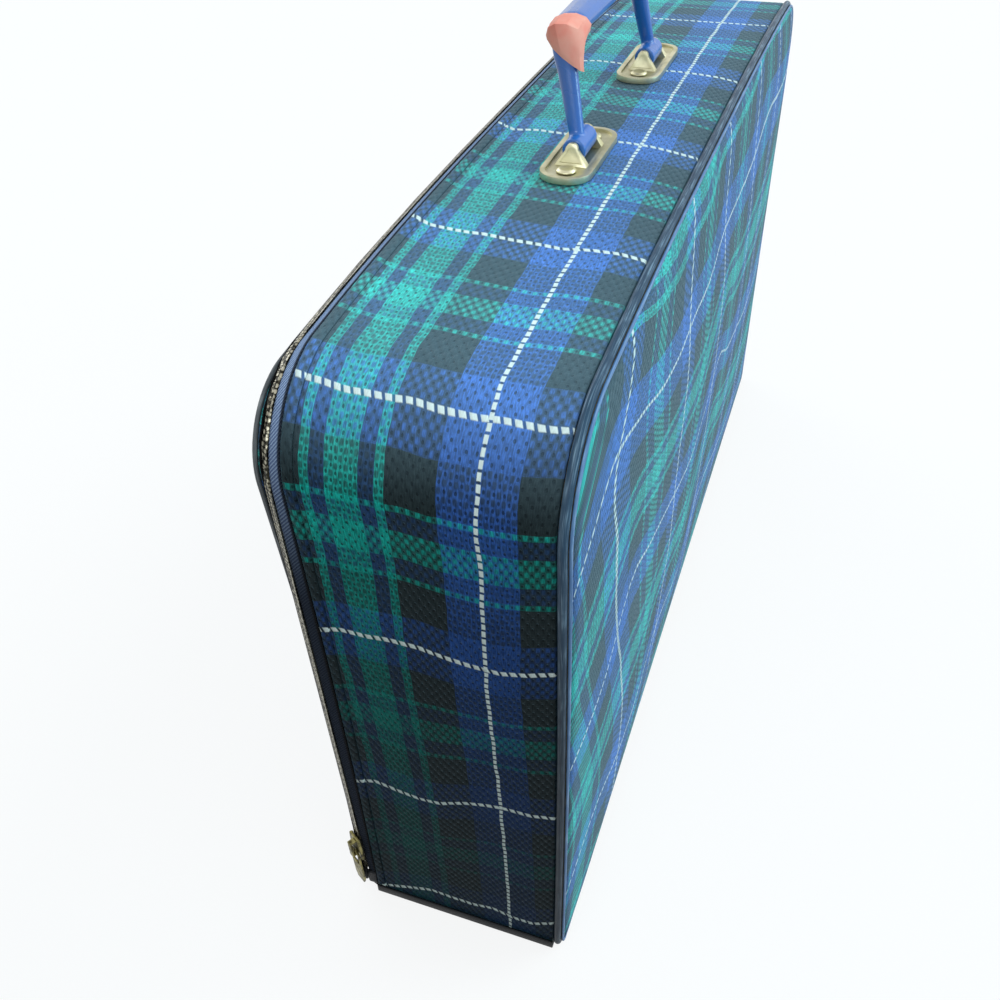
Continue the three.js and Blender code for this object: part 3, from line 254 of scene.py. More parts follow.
# Building pieces
def grid(name, count_u, count_v, place, uv, close_u=False, close_v=False):
    """A grid primitive whose points are moved to place(i, j), in millimetres.

    Uv gives the point of the map "cloth" in the same way, in metres."""
    deselect()
    bpy.ops.mesh.primitive_grid_add(
        x_subdivisions=count_u - 1, y_subdivisions=count_v - 1, size=2, calc_uvs=True
    )
    piece = bpy.context.object
    piece.name = name
    mesh = piece.data
    mesh.name = name
    cells = []
    for v in mesh.vertices:
        i = round((v.co.x + 1) / 2 * (count_u - 1))
        j = round((v.co.y + 1) / 2 * (count_v - 1))
        cells.append((i, j))
    for v, (i, j) in zip(mesh.vertices, cells):
        v.co = Vector(place(i, j)) * MM
    layer = mesh.uv_layers[0]
    layer.name = "cloth"
    for corner, at in zip(mesh.loops, layer.data):
        at.uv = uv(*cells[corner.vertex_index])
    with editing(piece):
        if close_u or close_v:
            bpy.ops.mesh.remove_doubles(threshold=0.01 * MM)
        bpy.ops.mesh.normals_make_consistent(inside=False)
    bpy.ops.object.shade_smooth()
    return piece


def modify(piece, kind, **settings):
    """Adds one modifier and applies it."""
    pick(piece)
    made = piece.modifiers.new(kind.lower(), kind)
    for name, value in settings.items():
        setattr(made, name, value)
    bpy.ops.object.modifier_apply(modifier=made.name)
    return piece


def cad_copy(name, node):
    """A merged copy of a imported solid, to be finished more finely than the solid is."""
    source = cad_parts[node]
    piece = source.copy()
    piece.data = source.data.copy()
    for key in list(piece.keys()):
        del piece[key]
    piece.parent = None
    piece.name = name
    piece.data.name = name
    bpy.context.scene.collection.objects.link(piece)
    with editing(piece):
        bpy.ops.mesh.remove_doubles(threshold=0.000002)
        bpy.ops.mesh.dissolve_limited(angle_limit=math.radians(1))
    return piece


def softened(name, node, width, segments=2, angle=30):
    """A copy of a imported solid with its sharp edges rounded."""
    piece = cad_copy(name, node)
    modify(
        piece, "BEVEL", width=width * MM, segments=segments, limit_method="ANGLE",
        angle_limit=math.radians(angle), harden_normals=False,
    )
    pick(piece)
    bpy.ops.object.shade_smooth_by_angle(angle=math.radians(angle))
    return piece


def section_strip(name, stations, section, closed=False, on_lid=False, flat=None):
    """A bar of constant section run along stations. The section is a list of (n, depth).

    Flat, if given, gives the map from the distance along and the depth."""
    count = len(section)
    if closed:
        stations = stations + stations[:1]
    path = lengths(stations)

    def place(i, j):
        x, z, nx, nz = stations[i]
        n, depth = section[j % count]
        return settle(x + nx * n, BAND_FRONT_Y + depth, z + nz * n, on_lid)

    around = np.concatenate([[0], np.cumsum([
        math.dist(section[k], section[(k + 1) % count]) for k in range(count)
    ])])

    def on_map(i, j):
        return flat(path[i], section[j % count][1]) if flat else (path[i] * MM, around[j] * MM)

    piece = grid(
        name, len(stations), count + 1, place, on_map, close_u=closed, close_v=True
    )
    if not closed:
        cap_ends(piece)
    return piece


def cap_ends(piece):
    """Closes the open ends of a bar."""
    with editing(piece):
        bpy.ops.mesh.fill_holes(sides=0)
        bpy.ops.mesh.normals_make_consistent(inside=False)


def round_section(radius, n, depth, sides=16):
    """A circle of a given radius about a place outwards and a depth."""
    turns = [2 * math.pi * k / sides for k in range(sides)]
    return [(n + radius * math.cos(turn), depth + radius * math.sin(turn)) for turn in turns]


# Materials
def colour(text):
    """A colour written as sRGB hex, as the linear values that shaders take."""
    parts = [int(text[i:i + 2], 16) / 255 for i in (1, 3, 5)]
    linear = [p / 12.92 if p <= 0.04045 else ((p + 0.055) / 1.055) ** 2.4 for p in parts]
    return (*linear, 1)


# Settings shared by many nodes: a soft step, and a mix of two colours
SOFT = {"interpolation_type": "SMOOTHSTEP"}
BLEND = {"output": 2, "data_type": "RGBA"}


def node(tree, kind, inputs=(), output=0, **settings):
    """Adds one shader node with its settings and its values or links."""
    made = tree.nodes.new("ShaderNode" + kind)
    for name, value in settings.items():
        setattr(made, name, value)
    pairs = inputs.items() if isinstance(inputs, dict) else enumerate(inputs)
    for key, value in pairs:
        if isinstance(value, bpy.types.NodeSocket):
            tree.links.new(value, made.inputs[key])
        else:
            made.inputs[key].default_value = value
    return made.outputs[output] if made.outputs else None


def material(name):
    """A new material and its empty node tree."""
    made = bpy.data.materials.new(name)
    made.use_nodes = True
    made.node_tree.nodes.clear()
    return made, made.node_tree


def finish(tree, base, roughness, height, bump=0.2, **shader):
    """The surface shader with its colour, roughness and relief, linked to the output.

    Bump is how deep the relief is, in millimetres."""
    relief = node(tree, "Bump", {"Strength": 1.0, "Distance": bump * MM, "Height": height})
    inputs = {"Base Color": base, "Roughness": roughness, "Normal": relief}
    inputs.update({key.replace("_", " "): value for key, value in shader.items()})
    surface = node(tree, "BsdfPrincipled", inputs)
    node(tree, "OutputMaterial", {"Surface": surface})


def wave(tree, distance, pitch):
    """Cosine of a distance in metres, with one turn for each pitch in millimetres."""
    turns = node(tree, "Math", (distance, 2 * math.pi / (pitch * MM)), operation="MULTIPLY")
    return node(tree, "Math", (turns,), operation="COSINE")


def streaks(tree, place, across, along, detail=2.0):
    """Noise drawn out into streaks of the given width and length in millimetres."""
    size = (1 / (across * MM), 1 / (along * MM), 0)
    stretched = node(tree, "VectorMath", (place, size), operation="MULTIPLY")
    return node(tree, "TexNoise", {"Vector": stretched, "Scale": 1.0, "Detail": detail})


def stripes(tree, distance, thread, counts):
    """Colour of the yarn at a distance across the stripes, and how far off the white line is."""
    half = sum(count for _, count in counts)
    repeat = 2 * half * thread * MM
    repeats = node(tree, "Math", (distance, repeat), operation="DIVIDE")
    folded = node(tree, "Math", (repeats, 0.5), operation="PINGPONG")
    share = node(tree, "Math", (folded, 2.0), operation="MULTIPLY")
    tint = node(tree, "ValToRGB", (share,))
    ramp = tint.node.color_ramp
    ramp.interpolation = "CONSTANT"
    edge = 0
    for k, (yarn, count) in enumerate(counts):
        element = ramp.elements[k] if k < 2 else ramp.elements.new(1.0)
        element.position = edge / half
        element.color = colour(YARNS[yarn])
        edge += count
    return tint, node(tree, "Math", (folded, repeat), operation="MULTIPLY")


def weave(tree, flat):
    """Where each thread of the cloth runs, and where threads cross and leave holes."""
    # The threads wander by about half a millimetre, so no stripe is ruler straight
    drift = node(tree, "TexNoise", {"Vector": flat, "Scale": 70.0}, 1)
    drift = node(tree, "VectorMath", (drift, (-0.5,) * 3), operation="ADD")
    place = node(
        tree, "VectorMath", {0: drift, 1: (THREAD_DRIFT * MM,) * 3, 2: flat},
        operation="MULTIPLY_ADD",
    )
    across = node(tree, "SeparateXYZ", (place,))
    along = across.node.outputs[1]
    cross = node(
        tree, "Math", (wave(tree, across, 2 * THREAD_ACROSS), wave(tree, along, 2 * THREAD_ALONG)),
        operation="MULTIPLY",
    )
    dot = node(tree, "MapRange", (cross, -0.15, 0.6), **SOFT)
    hole = node(tree, "MapRange", (cross, -0.5, -0.95), **SOFT)
    return place, across, along, dot, hole


def white_dashes(tree, across, along, off_long, off_cross):
    """Cover and relief of the thick white yarn, and the dark gaps between its dashes."""
    half_long, half_cross = LONG_WHITE_WIDTH / 2 * MM, CROSS_WHITE_WIDTH / 2 * MM
    on_long = node(
        tree, "MapRange", (off_long, half_long * 0.75, half_long * 1.2, 1.0, 0.0), **SOFT
    )
    on_cross = node(
        tree, "MapRange", (off_cross, half_cross * 0.7, half_cross * 1.2, 1.0, 0.0), **SOFT
    )
    leaning = node(tree, "Math", (along, -0.4, across), operation="MULTIPLY_ADD")
    side_wave = wave(tree, leaning, 2 * THREAD_ACROSS)
    long_dash = node(
        tree, "MapRange", (wave(tree, along, LONG_DASH_PITCH), -0.95, -0.35), **SOFT
    )
    cross_dash = node(tree, "MapRange", (side_wave, -0.8, -0.2), **SOFT)
    white = node(
        tree, "Math", (
            node(tree, "Math", (on_long, long_dash), operation="MULTIPLY"),
            node(tree, "Math", (on_cross, cross_dash), operation="MULTIPLY"),
        ), operation="MAXIMUM",
    )
    line = node(tree, "Math", (on_long, on_cross), operation="MAXIMUM")
    gap = node(tree, "Math", (line, white), operation="SUBTRACT")
    round_top = node(tree, "MapRange", (side_wave, -0.9, 0.9), **SOFT)
    crown = node(tree, "Math", (on_cross, round_top), operation="MULTIPLY")
    crown = node(tree, "Math", (on_long, 0.6, crown), operation="MULTIPLY_ADD")
    return white, gap, crown


def shade_and_sheen_by_height(tree, shaded_below):
    """How much painted shade and painted sheen the cloth takes, by height in metres.

    The cloth darkens down the ends towards the foot with painted shade, and takes a pale painted
    sheen near the top."""
    place = node(tree, "TexCoord", output=3)
    height = node(tree, "SeparateXYZ", (place,)).node.outputs[2]
    share = node(tree, "MapRange", (height, 0.0, shaded_below))
    curve = node(tree, "Math", (share, 2.0), operation="POWER")
    # Painted shade: the dyes darken towards the foot, down to a small share of their colour
    painted_shade_level = node(tree, "MapRange", (curve, 0.0, 1.0, PAINTED_FOOT_LEVEL, 1.0))
    # Painted sheen: a pale tint that grows to full near the top
    grey = node(tree, "MapRange", (share, 0.88, 1.03), **SOFT)
    return painted_shade_level, grey


def tartan(name, shaded_below):
    """Coarse woven tartan of coated yarn, thread by thread, with painted shade below a height in
    metres and a painted sheen near that height and above.

    The map "cloth" gives the place across and along the stripes in metres."""
    made, tree = material(name)
    flat = node(tree, "UVMap", uv_map="cloth")
    place, across, along, dot, hole = weave(tree, flat)
    warp, off_long = stripes(tree, across, THREAD_ACROSS, WARP_STRIPES)
    weft, off_cross = stripes(tree, along, THREAD_ALONG, WEFT_STRIPES)
    # Weft shows as dots where it crosses over, in a diamond pattern
    share = node(tree, "Math", (dot, 0.5, 0.22), operation="MULTIPLY_ADD")
    yarn = node(tree, "Mix", {0: share, 6: warp, 7: weft}, **BLEND)
    # Fine streaks along each thread: partly uneven dye, partly painted highlights on the yarn
    streak = streaks(tree, place, 0.5, 2.6, 3.0)
    fine = node(tree, "MapRange", (streak, 0.32, 0.7, 0.62, 1.42), **SOFT)
    # Dark holes between each four crossings, and rubbed patches some centimetres wide
    shade = node(tree, "MapRange", (hole, 0.0, 1.0, 1.0, 0.3), **SOFT)
    level = node(tree, "Math", (fine, shade), operation="MULTIPLY")
    clouds = node(tree, "TexNoise", {"Vector": flat, "Scale": 1 / (PATCH_SIZE * MM)})
    worn = node(tree, "MapRange", (clouds, 0.35, 0.65, 0.9, 1.1), **SOFT)
    level = node(tree, "Math", (level, worn), operation="MULTIPLY")
    white, gap, crown = white_dashes(tree, across, along, off_long, off_cross)
    between = node(tree, "MapRange", (gap, 0.2, 0.9, 1.0, 0.5), **SOFT)
    level = node(tree, "Math", (level, between), operation="MULTIPLY")
    # Painted shade towards the foot and painted sheen near the top, by height
    painted_shade_level, grey = shade_and_sheen_by_height(tree, shaded_below)
    added_sheen = node(tree, "VectorMath", {0: colour(PAINTED_SHEEN_TINT)[:3], 3: grey}, operation="SCALE")
    level = node(tree, "Math", (level, painted_shade_level), operation="MULTIPLY")
    plain = node(tree, "VectorMath", {0: yarn, 3: level}, operation="SCALE")
    plain = node(tree, "VectorMath", (plain, added_sheen), operation="ADD")
    # The white yarn varies with the same streaks, partly in tone and partly with painted
    # highlights
    tone_and_painted_light = node(tree, "MapRange", (fine, 0.6, 1.4, 0.86, 1.0))
    bleached = node(
        tree, "VectorMath", {0: colour(YARNS["white"])[:3], 3: tone_and_painted_light}, operation="SCALE"
    )
    base = node(tree, "Mix", {0: white, 6: plain, 7: bleached}, **BLEND)
    height = node(tree, "Math", (hole, -0.9), operation="MULTIPLY")
    height = node(tree, "Math", (dot, 0.35, height), operation="MULTIPLY_ADD")
    height = node(tree, "Math", (fine, 0.25, height), operation="MULTIPLY_ADD")
    raised = node(tree, "Math", (crown, 0.5, 0.3), operation="MULTIPLY_ADD")
    height = node(tree, "Mix", {0: white, 2: height, 3: raised})
    rough = node(tree, "MapRange", (fine, 0.6, 1.4, 0.6, 0.42))
    finish(
        tree, base, rough, height, bump=0.3, Specular_IOR_Level=0.04,
        Sheen_Weight=0.12, Sheen_Roughness=0.45, Sheen_Tint=colour("#9cdcf4"),
    )
    return made


def vinyl(name, tint, roughness, grain, relief, tint_range=0.15, **shader):
    """Soft calendered vinyl: a fine pebble grain and a satin shine."""
    made, tree = material(name)
    place = node(tree, "TexCoord", output=3)
    pebble = node(tree, "TexVoronoi", {"Vector": place, "Scale": 1 / (grain * MM)})
    inputs = {"Vector": place, "Scale": 1 / (PATCH_SIZE * MM), "Detail": 3.0}
    cloudy = node(tree, "TexNoise", inputs)
    level = node(tree, "MapRange", (cloudy, 0.3, 0.7, 1 - tint_range, 1 + tint_range))
    rough = node(tree, "MapRange", (cloudy, 0.3, 0.7, roughness - 0.06, roughness + 0.08))
    base = node(tree, "VectorMath", {0: colour(tint)[:3], 3: level}, operation="SCALE")
    finish(tree, base, rough, pebble, bump=relief, **shader)
    return made


def strip_vinyl(name, tint, wear_and_highlight, roughness, at_foot=1.0, **shader):
    """Vinyl drawn over a strip, with pale streaks along its length in patches, which are painted
    highlights.

    At_foot is how much of its colour the painted shade leaves at the foot."""
    made, tree = material(name)
    flat = node(tree, "UVMap", uv_map="cloth")
    lines = streaks(tree, flat, 14.0, 0.5, 4.0)
    patches = node(tree, "TexNoise", {"Vector": flat, "Scale": 1 / (9 * MM), "Detail": 3.0})
    # Painted highlights: pale streaks along the strip, in patches
    share = node(
        tree, "Math", (
            node(tree, "MapRange", (lines, 0.42, 0.75), **SOFT),
            node(tree, "MapRange", (patches, 0.3, 0.65), **SOFT),
        ), operation="MULTIPLY",
    )
    tone_and_painted_light = node(tree, "Mix", {0: share, 6: colour(tint), 7: colour(wear_and_highlight)}, **BLEND)
    place = node(tree, "TexCoord", output=3)
    height = node(tree, "SeparateXYZ", (place,)).node.outputs[2]
    # Painted shade: darker towards the foot
    left = node(tree, "MapRange", (height, 0.1, 0.26, at_foot, 1.0), **SOFT)
    base = node(tree, "VectorMath", {0: tone_and_painted_light, 3: left}, operation="SCALE")
    rough = node(tree, "MapRange", (lines, 0.3, 0.7, roughness + 0.1, roughness - 0.06))
    finish(tree, base, rough, lines, bump=0.12, **shader)
    return made


def twill_tape(name, tint, shade):
    """Woven zip tape: diagonal ribs, with painted shade in the groove along the hem and down the
    near end towards its foot.
    """
    made, tree = material(name)
    flat = node(tree, "UVMap", uv_map="cloth")
    along = node(tree, "SeparateXYZ", (flat,))
    over = along.node.outputs[1]
    slant = node(tree, "Math", (over, 0.9, along), operation="MULTIPLY_ADD")
    ribs = wave(tree, slant, RIB_PITCH)
    fuzz = node(tree, "TexNoise", {"Vector": flat, "Scale": 1 / (FUZZ_SIZE * MM)})
    ribbed = node(tree, "Math", (ribs, 0.4, fuzz), operation="MULTIPLY_ADD")
    share = node(tree, "MapRange", (ribbed, 0.1, 0.9), **SOFT)
    # Painted shade: nearly black in the groove next to the hem
    hem = node(tree, "MapRange", (over, 0.5 * MM, 1.5 * MM, 0.08, 1.0), **SOFT)
    # Painted shade: darker down the near end towards its foot
    foot = node(tree, "MapRange", (along, 0.18, 0.28, 0.06, 1.0), **SOFT)
    tone_and_painted_light = node(tree, "Math", (hem, foot), operation="MULTIPLY")
    weave_tint = node(tree, "Mix", {0: share, 6: colour(shade), 7: colour(tint)}, **BLEND)
    base = node(tree, "VectorMath", {0: weave_tint, 3: tone_and_painted_light}, operation="SCALE")
    finish(tree, base, 0.8, ribs, bump=0.15, Specular_IOR_Level=0.1)
    return made


def metal(name, tint, dark, roughness, wear=6.0):
    """Pressed or cast metal: worn bright in patches, dull between them."""
    made, tree = material(name)
    place = node(tree, "TexCoord", output=3)
    cloudy = node(tree, "TexNoise", {"Vector": place, "Scale": 1 / (wear * MM), "Detail": 4.0})
    fine = node(tree, "TexNoise", {"Vector": place, "Scale": 1 / (0.5 * MM)})
    share = node(tree, "MapRange", (cloudy, 0.35, 0.65), **SOFT)
    base = node(tree, "Mix", {0: share, 6: colour(dark), 7: colour(tint)}, **BLEND)
    rough = node(tree, "MapRange", (cloudy, 0.3, 0.7, roughness + 0.1, roughness - 0.05))
    finish(tree, base, rough, fine, bump=0.01, Metallic=1.0)
    return made


def worn_teeth(name, tint, dark, size):
    """Metal teeth of about the given size in millimetres, pale in their worn middles."""
    made, tree = material(name)
    place = node(tree, "TexCoord", output=3)
    inputs = {"Vector": place, "Scale": 1 / (size * MM), "Randomness": 0.25}
    middle = node(tree, "TexVoronoi", inputs)
    wear_and_highlight = node(tree, "MapRange", (middle, 0.3, 0.6, 1.0, 0.0), **SOFT)
    base = node(tree, "Mix", {0: wear_and_highlight, 6: colour(dark), 7: colour(tint)}, **BLEND)
    finish(tree, base, 0.42, wear_and_highlight, bump=0.1, Metallic=1.0)
    return made


def fibre_board(name, tint, shade, fibre_mm=1.5, roughness=0.9):
    """Matt board or paper with short flecks."""
    made, tree = material(name)
    place = node(tree, "TexCoord", output=3)
    flecks = node(tree, "TexNoise", {"Vector": place, "Scale": 1 / (fibre_mm * MM), "Detail": 5.0})
    share = node(tree, "MapRange", (flecks, 0.35, 0.65))
    base = node(tree, "Mix", {0: share, 6: colour(shade), 7: colour(tint)}, **BLEND)
    finish(tree, base, roughness, flecks, bump=0.08)
    return made


# Each finish by what it is and what it gives the eye
# Coated yarn: stripes mixed thread by thread, dark holes, raised white dashes, painted sheen on
# top and painted shade down the ends towards the foot
cloth = tartan("tartan_cloth", CASE_HEIGHT * MM)
# The same cloth with the painted sheen all over, and painted shade only in its lowest centimetre,
# as on the front
sheened_cloth = tartan("sheened_tartan_cloth", 0.01)
# Calendered vinyl over a cord: grey blue, with pale streaks along it that are painted highlights,
# and painted shade towards its foot
piping_vinyl = strip_vinyl(
    "navy_piping_vinyl", "#2e465c", "#86a0b4", 0.36, 0.3, Specular_IOR_Level=0.15
)
# Thin welt, lighter blue than the piping, with pale streaks that are painted highlights
rim_vinyl = strip_vinyl("blue_rim_vinyl", "#4f76a6", "#94b8da", 0.4)
# Bottom sheet: near black, scuffed, with a soft satin shine
bottom_vinyl = vinyl("black_bottom_vinyl", "#101216", 0.4, 0.8, 0.08, Specular_IOR_Level=0.15)
# Cord along the lid's edge: grey, with pale streaks along it that are painted highlights
binding_vinyl = strip_vinyl("grey_binding_vinyl", "#3c4044", "#8d9192", 0.5)
# Woven zip tape: diagonal ribs, periwinkle on the case and nearly black on the lid
tape_twill = twill_tape("zip_tape_twill", "#b0c6e8", "#6c80ac")
lid_twill = twill_tape("dark_tape_twill", "#474b60", "#24262f")
# Zip teeth: oxidised nickel silver, dull olive with rubbed pale tips
tooth_metal = worn_teeth("oxidised_zip_teeth", "#a8a492", "#2a2922", 1.6)
# Slider: yellow brass, bright where fingers rub it
slider_brass = metal("slider_brass", "#8f885a", "#3e3a26", 0.4, 3.0)
# Handle plates: warm nickel, cream with cloudy tarnish
nickel = metal("warm_nickel", "#d8d4b4", "#bcb896", 0.4, 9.0)
# Hidden pins and backings: plain zinc-plated steel
steel = metal("plain_steel", "#9a9ca0", "#6c6e73", 0.35)
# Handle: smooth royal blue vinyl with a soft broad highlight
grip_vinyl = vinyl(
    "royal_blue_vinyl", "#2068ba", 0.3, 0.5, 0.02, 0.08, Specular_IOR_Level=0.5,
    Coat_Weight=0.4, Coat_Roughness=0.1,
)
# Inside: brown fibre board and a pale grey paper lining
board = fibre_board("fibre_board", "#a58c66", "#86704e")
lining = fibre_board("lining_paper", "#9ba0a6", "#858a90", 3.0)
# Tag: coral paper, creased and a little soft
tag_paper = fibre_board("coral_tag_paper", "#ffb09a", "#ff9480", 9.0, 0.7)


# Pieces of the case
CASE = (HALF_LENGTH, CASE_HEIGHT, CORNER_RADIUS)
CHAIN = (HALF_LENGTH - CHAIN_STEP_IN, CASE_HEIGHT - CHAIN_DROP, CHAIN_RADIUS)
LID = (HALF_LENGTH + LID_STEP_OUT, CASE_HEIGHT - LID_DROP, LID_RADIUS)


def pattern_place(value, lines, repeat):
    """Place in the pattern, in millimetres, of a value among the lines that lie in order."""
    if value <= lines[0]:
        return value - lines[0]
    if value >= lines[-1]:
        return (len(lines) - 1) * repeat + value - lines[-1]
    return float(np.interp(value, lines, [repeat * k for k in range(len(lines))]))


def band_place(distance, depth):
    """Place in the pattern, in metres, of a point of the band."""
    across = depth - np.interp(distance, LONG_LINE_PLACES, LONG_LINE_DEPTHS)
    lines = [np.interp(depth, BAND_DEPTHS, line) for line in BAND_LINES]
    return across * MM, pattern_place(distance, lines, WEFT_REPEAT) * MM


def smooth_curve(value, places, heights):
    """Height at a value of the smooth curve that runs through the measured points."""
    slopes = np.gradient(heights, places)
    k = min(max(int(np.searchsorted(places, value)) - 1, 0), len(places) - 2)
    step = places[k + 1] - places[k]
    s = min(max((value - places[k]) / step, 0), 1)
    rise = s * s * (3 - 2 * s)
    bend = s * (1 - s) * step * ((1 - s) * slopes[k] - s * slopes[k + 1])
    return heights[k] * (1 - rise) + heights[k + 1] * rise + bend


def front_place(x, z):
    """Place in the pattern, in metres, of a point of the front."""
    long_lines = [smooth_curve(x, FRONT_PLACES, line) for line in FRONT_LONG_LINES]
    cross_lines = [smooth_curve(z, FRONT_HEIGHTS, line) for line in FRONT_CROSS_LINES]
    across = pattern_place(z, long_lines, WARP_REPEAT)
    along = pattern_place(x, cross_lines, WEFT_REPEAT)
    return across * MM, along * MM


def band_cloth():
    """Cloth over the top and both ends, turned down into the grooves at its two edges."""
    stations = arch(*CASE, CLOTH_FOOT, FINE_STEPS)
    path = lengths(stations)
    # Across: depth behind the front edge, and how far the cloth is sunk there
    front_edge = [(5.0, 1.1), (5.15, 0.5), (5.5, 0.15), (CLOTH_EDGE_DEPTH, 0.0)]
    back_edge = [(CLOTH_BACK_DEPTH, 0.0), (90.1, 0.15), (90.45, 0.5), (90.6, 1.1)]
    width, rows = CLOTH_BACK_DEPTH - CLOTH_EDGE_DEPTH, 40
    inner = [(CLOTH_EDGE_DEPTH + width * k / rows, 0.0) for k in range(1, rows)]
    across = front_edge + inner + back_edge

    def place(i, j):
        x, z, nx, nz = stations[i]
        depth, sunk = across[j]
        return settle(x - nx * sunk, BAND_FRONT_Y + depth, z - nz * sunk)

    return grid(
        "band_cloth", len(stations), len(across), place,
        lambda i, j: band_place(path[i] + CLOTH_FOOT, across[j][0]),
    )


def face_outwards(piece, towards):
    """Turns an open sheet so that its faces look the given way."""
    total = sum((p.normal * p.area for p in piece.data.polygons), Vector())
    if total.dot(Vector(towards)) < 0:
        with editing(piece):
            bpy.ops.mesh.flip_normals()
    return piece


def pillow_cloth(name, shape, foot, inset, depth, pillow, on_lid, sign, pattern):
    """A crowned sheet of cloth inside a rounded outline. Sign is the way that it faces along Y.

    Pattern gives the place in the tartan of a point of the flat sheet."""
    stations = loop(*shape, foot, FACE_STEPS)
    outline = [(x - nx * inset, z - nz * inset) for x, z, nx, nz in stations]
    middle = (max(z for _, z in outline) + min(z for _, z in outline)) / 2
    rings = 26
    shares = [1 - (k / (rings - 1)) ** 1.15 for k in range(rings)]

    def flat(i, j):
        x, z = outline[i % len(outline)]
        return x * shares[j], middle + (z - middle) * shares[j]

    def place(i, j):
        x, z = flat(i, j)
        bulge = pillow * (1 - shares[j] ** 4)
        return settle(x, BAND_FRONT_Y + depth + sign * bulge, z, on_lid)

    piece = grid(
        name, len(outline) + 1, rings, place, lambda i, j: pattern(*flat(i, j)), close_u=True
    )
    return face_outwards(piece, (0, sign, 0))


def thicken(piece, thickness):
    """Gives a sheet its thickness, inwards."""
    return modify(piece, "SOLIDIFY", thickness=thickness * MM, offset=-1, use_quality_normals=True)


def dressed(piece, body, surface, slot, *nodes):
    """Gives a piece its finish, the body that it rides on and the solids that it replaces."""
    piece.data.materials.clear()
    piece.data.materials.append(surface)
    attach(piece, body)
    if nodes:
        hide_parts(*nodes)
    return piece


band = band_cloth()
face_outwards(band, (0, 0, 1))
thicken(band, CLOTH)
dressed(band, "case", cloth, "tartan_cloth", "band_cover")

front = pillow_cloth(
    "front_cloth", CASE, OUTLINE_FOOT, inset=2.2, depth=0.3, pillow=FRONT_PILLOW, on_lid=False,
    sign=-1, pattern=front_place,
)
thicken(front, CLOTH)
dressed(front, "case", sheened_cloth, "tartan_cloth", "front_cover")

lid_sheet = pillow_cloth(
    "lid_cloth", LID, LID_CLOTH_FOOT, inset=3.0, depth=LID_CLOTH_DEPTH, pillow=LID_PILLOW,
    on_lid=True, sign=1, pattern=lambda x, z: ((z - 46) * MM, (x + 172) * MM),
)
thicken(lid_sheet, CLOTH)
dressed(lid_sheet, "lid", sheened_cloth, "tartan_cloth", "lid_cover")

outline = loop(*CASE, OUTLINE_FOOT)
piping = section_strip("piping_bead", outline, round_section(*PIPING), closed=True)
dressed(piping, "case", piping_vinyl, "vinyl_trim", "front_piping")
rim = section_strip("front_edge_rim", outline, round_section(*RIM, sides=10), closed=True)
dressed(rim, "case", rim_vinyl, "vinyl_trim", "front_rim")

# The cloth's hem at the back edge, where the pattern runs on over the binding
hem_section = [
    (-1.1, 90.5), (0.0, 90.5), (0.25, 91.0), (0.3, 92.6), (0.2, 94.2), (-0.3, 94.7),
    (-1.1, 94.7),
]
hem = section_strip(
    "back_hem", arch(*CASE, CLOTH_FOOT, FINE_STEPS), hem_section,
    flat=lambda distance, depth: band_place(distance + CLOTH_FOOT, depth),
)
dressed(hem, "case", cloth, "tartan_cloth", "back_binding")

lid_edge = section_strip(
    "lid_edge_cord", arch(*LID, LID_CORD_FOOT), round_section(*LID_CORD), on_lid=True
)
dressed(lid_edge, "lid", binding_vinyl, "vinyl_trim", "lid_binding")


def bridging_tape(name, shape_a, n_a, depth_a, shape_b, n_b, depth_b, foot, thickness):
    """A tape that runs from one loop to another."""
    a, b = arch(*shape_a, foot, TAPE_STEPS), arch(*shape_b, foot, TAPE_STEPS)
    path = lengths(a)
    rows = 7

    def place(i, j):
        share = j / (rows - 1)
        (ax, az, anx, anz), (bx, bz, bnx, bnz) = a[i], b[i]
        x = (ax + anx * n_a) * (1 - share) + (bx + bnx * n_b) * share
        z = (az + anz * n_a) * (1 - share) + (bz + bnz * n_b) * share
        return settle(x, BAND_FRONT_Y + depth_a + (depth_b - depth_a) * share, z)

    width = math.hypot(depth_b - depth_a, CHAIN_STEP_IN)
    piece = grid(
        name, len(a), rows, place, lambda i, j: (path[i] * MM, width * j / (rows - 1) * MM)
    )
    face_outwards(piece, (0, 0, 1))
    return thicken(piece, thickness)


case_tape = bridging_tape(
    "zip_tape_on_case", CASE, -0.15, BAND_DEPTH, CHAIN, 0.4, TAPE_BACK_DEPTH, TAPE_FOOT,
    thickness=0.75,
)
dressed(case_tape, "case", tape_twill, "zip_tape", "zip_tape_case")


def foot_wrap(name, side, depths, turn_steps, run_steps, on_lid):
    """Vinyl folded round a lower corner, below the end of the zip. Side is -1 for the near end.

    It turns by as many steps as are given, eight to a quarter, and then runs under the case."""
    corner, corner_z = HALF_LENGTH - FOOT_RADIUS, WRAP_FOOT + FOOT_RADIUS
    stations = [(side * HALF_LENGTH, corner_z + 7.0 - 1.0 * k, side, 0) for k in range(7)]
    for k in range(turn_steps + 1):
        angle = math.pi / 2 * k / 8
        c, s = side * math.cos(angle), -math.sin(angle)
        stations.append((side * corner + FOOT_RADIUS * c, corner_z + FOOT_RADIUS * s, c, s))
    stations += [(side * (corner - 2.0 * k), WRAP_FOOT, 0, -1) for k in range(1, run_steps + 1)]
    first_depth, last_depth = depths
    section = [
        (-1.3, first_depth), (-0.4, first_depth), (0.0, first_depth + 0.5),
        (0.0, last_depth - 0.5), (-0.4, last_depth), (-1.3, last_depth),
    ]
    return section_strip(name, stations, section, on_lid=on_lid)


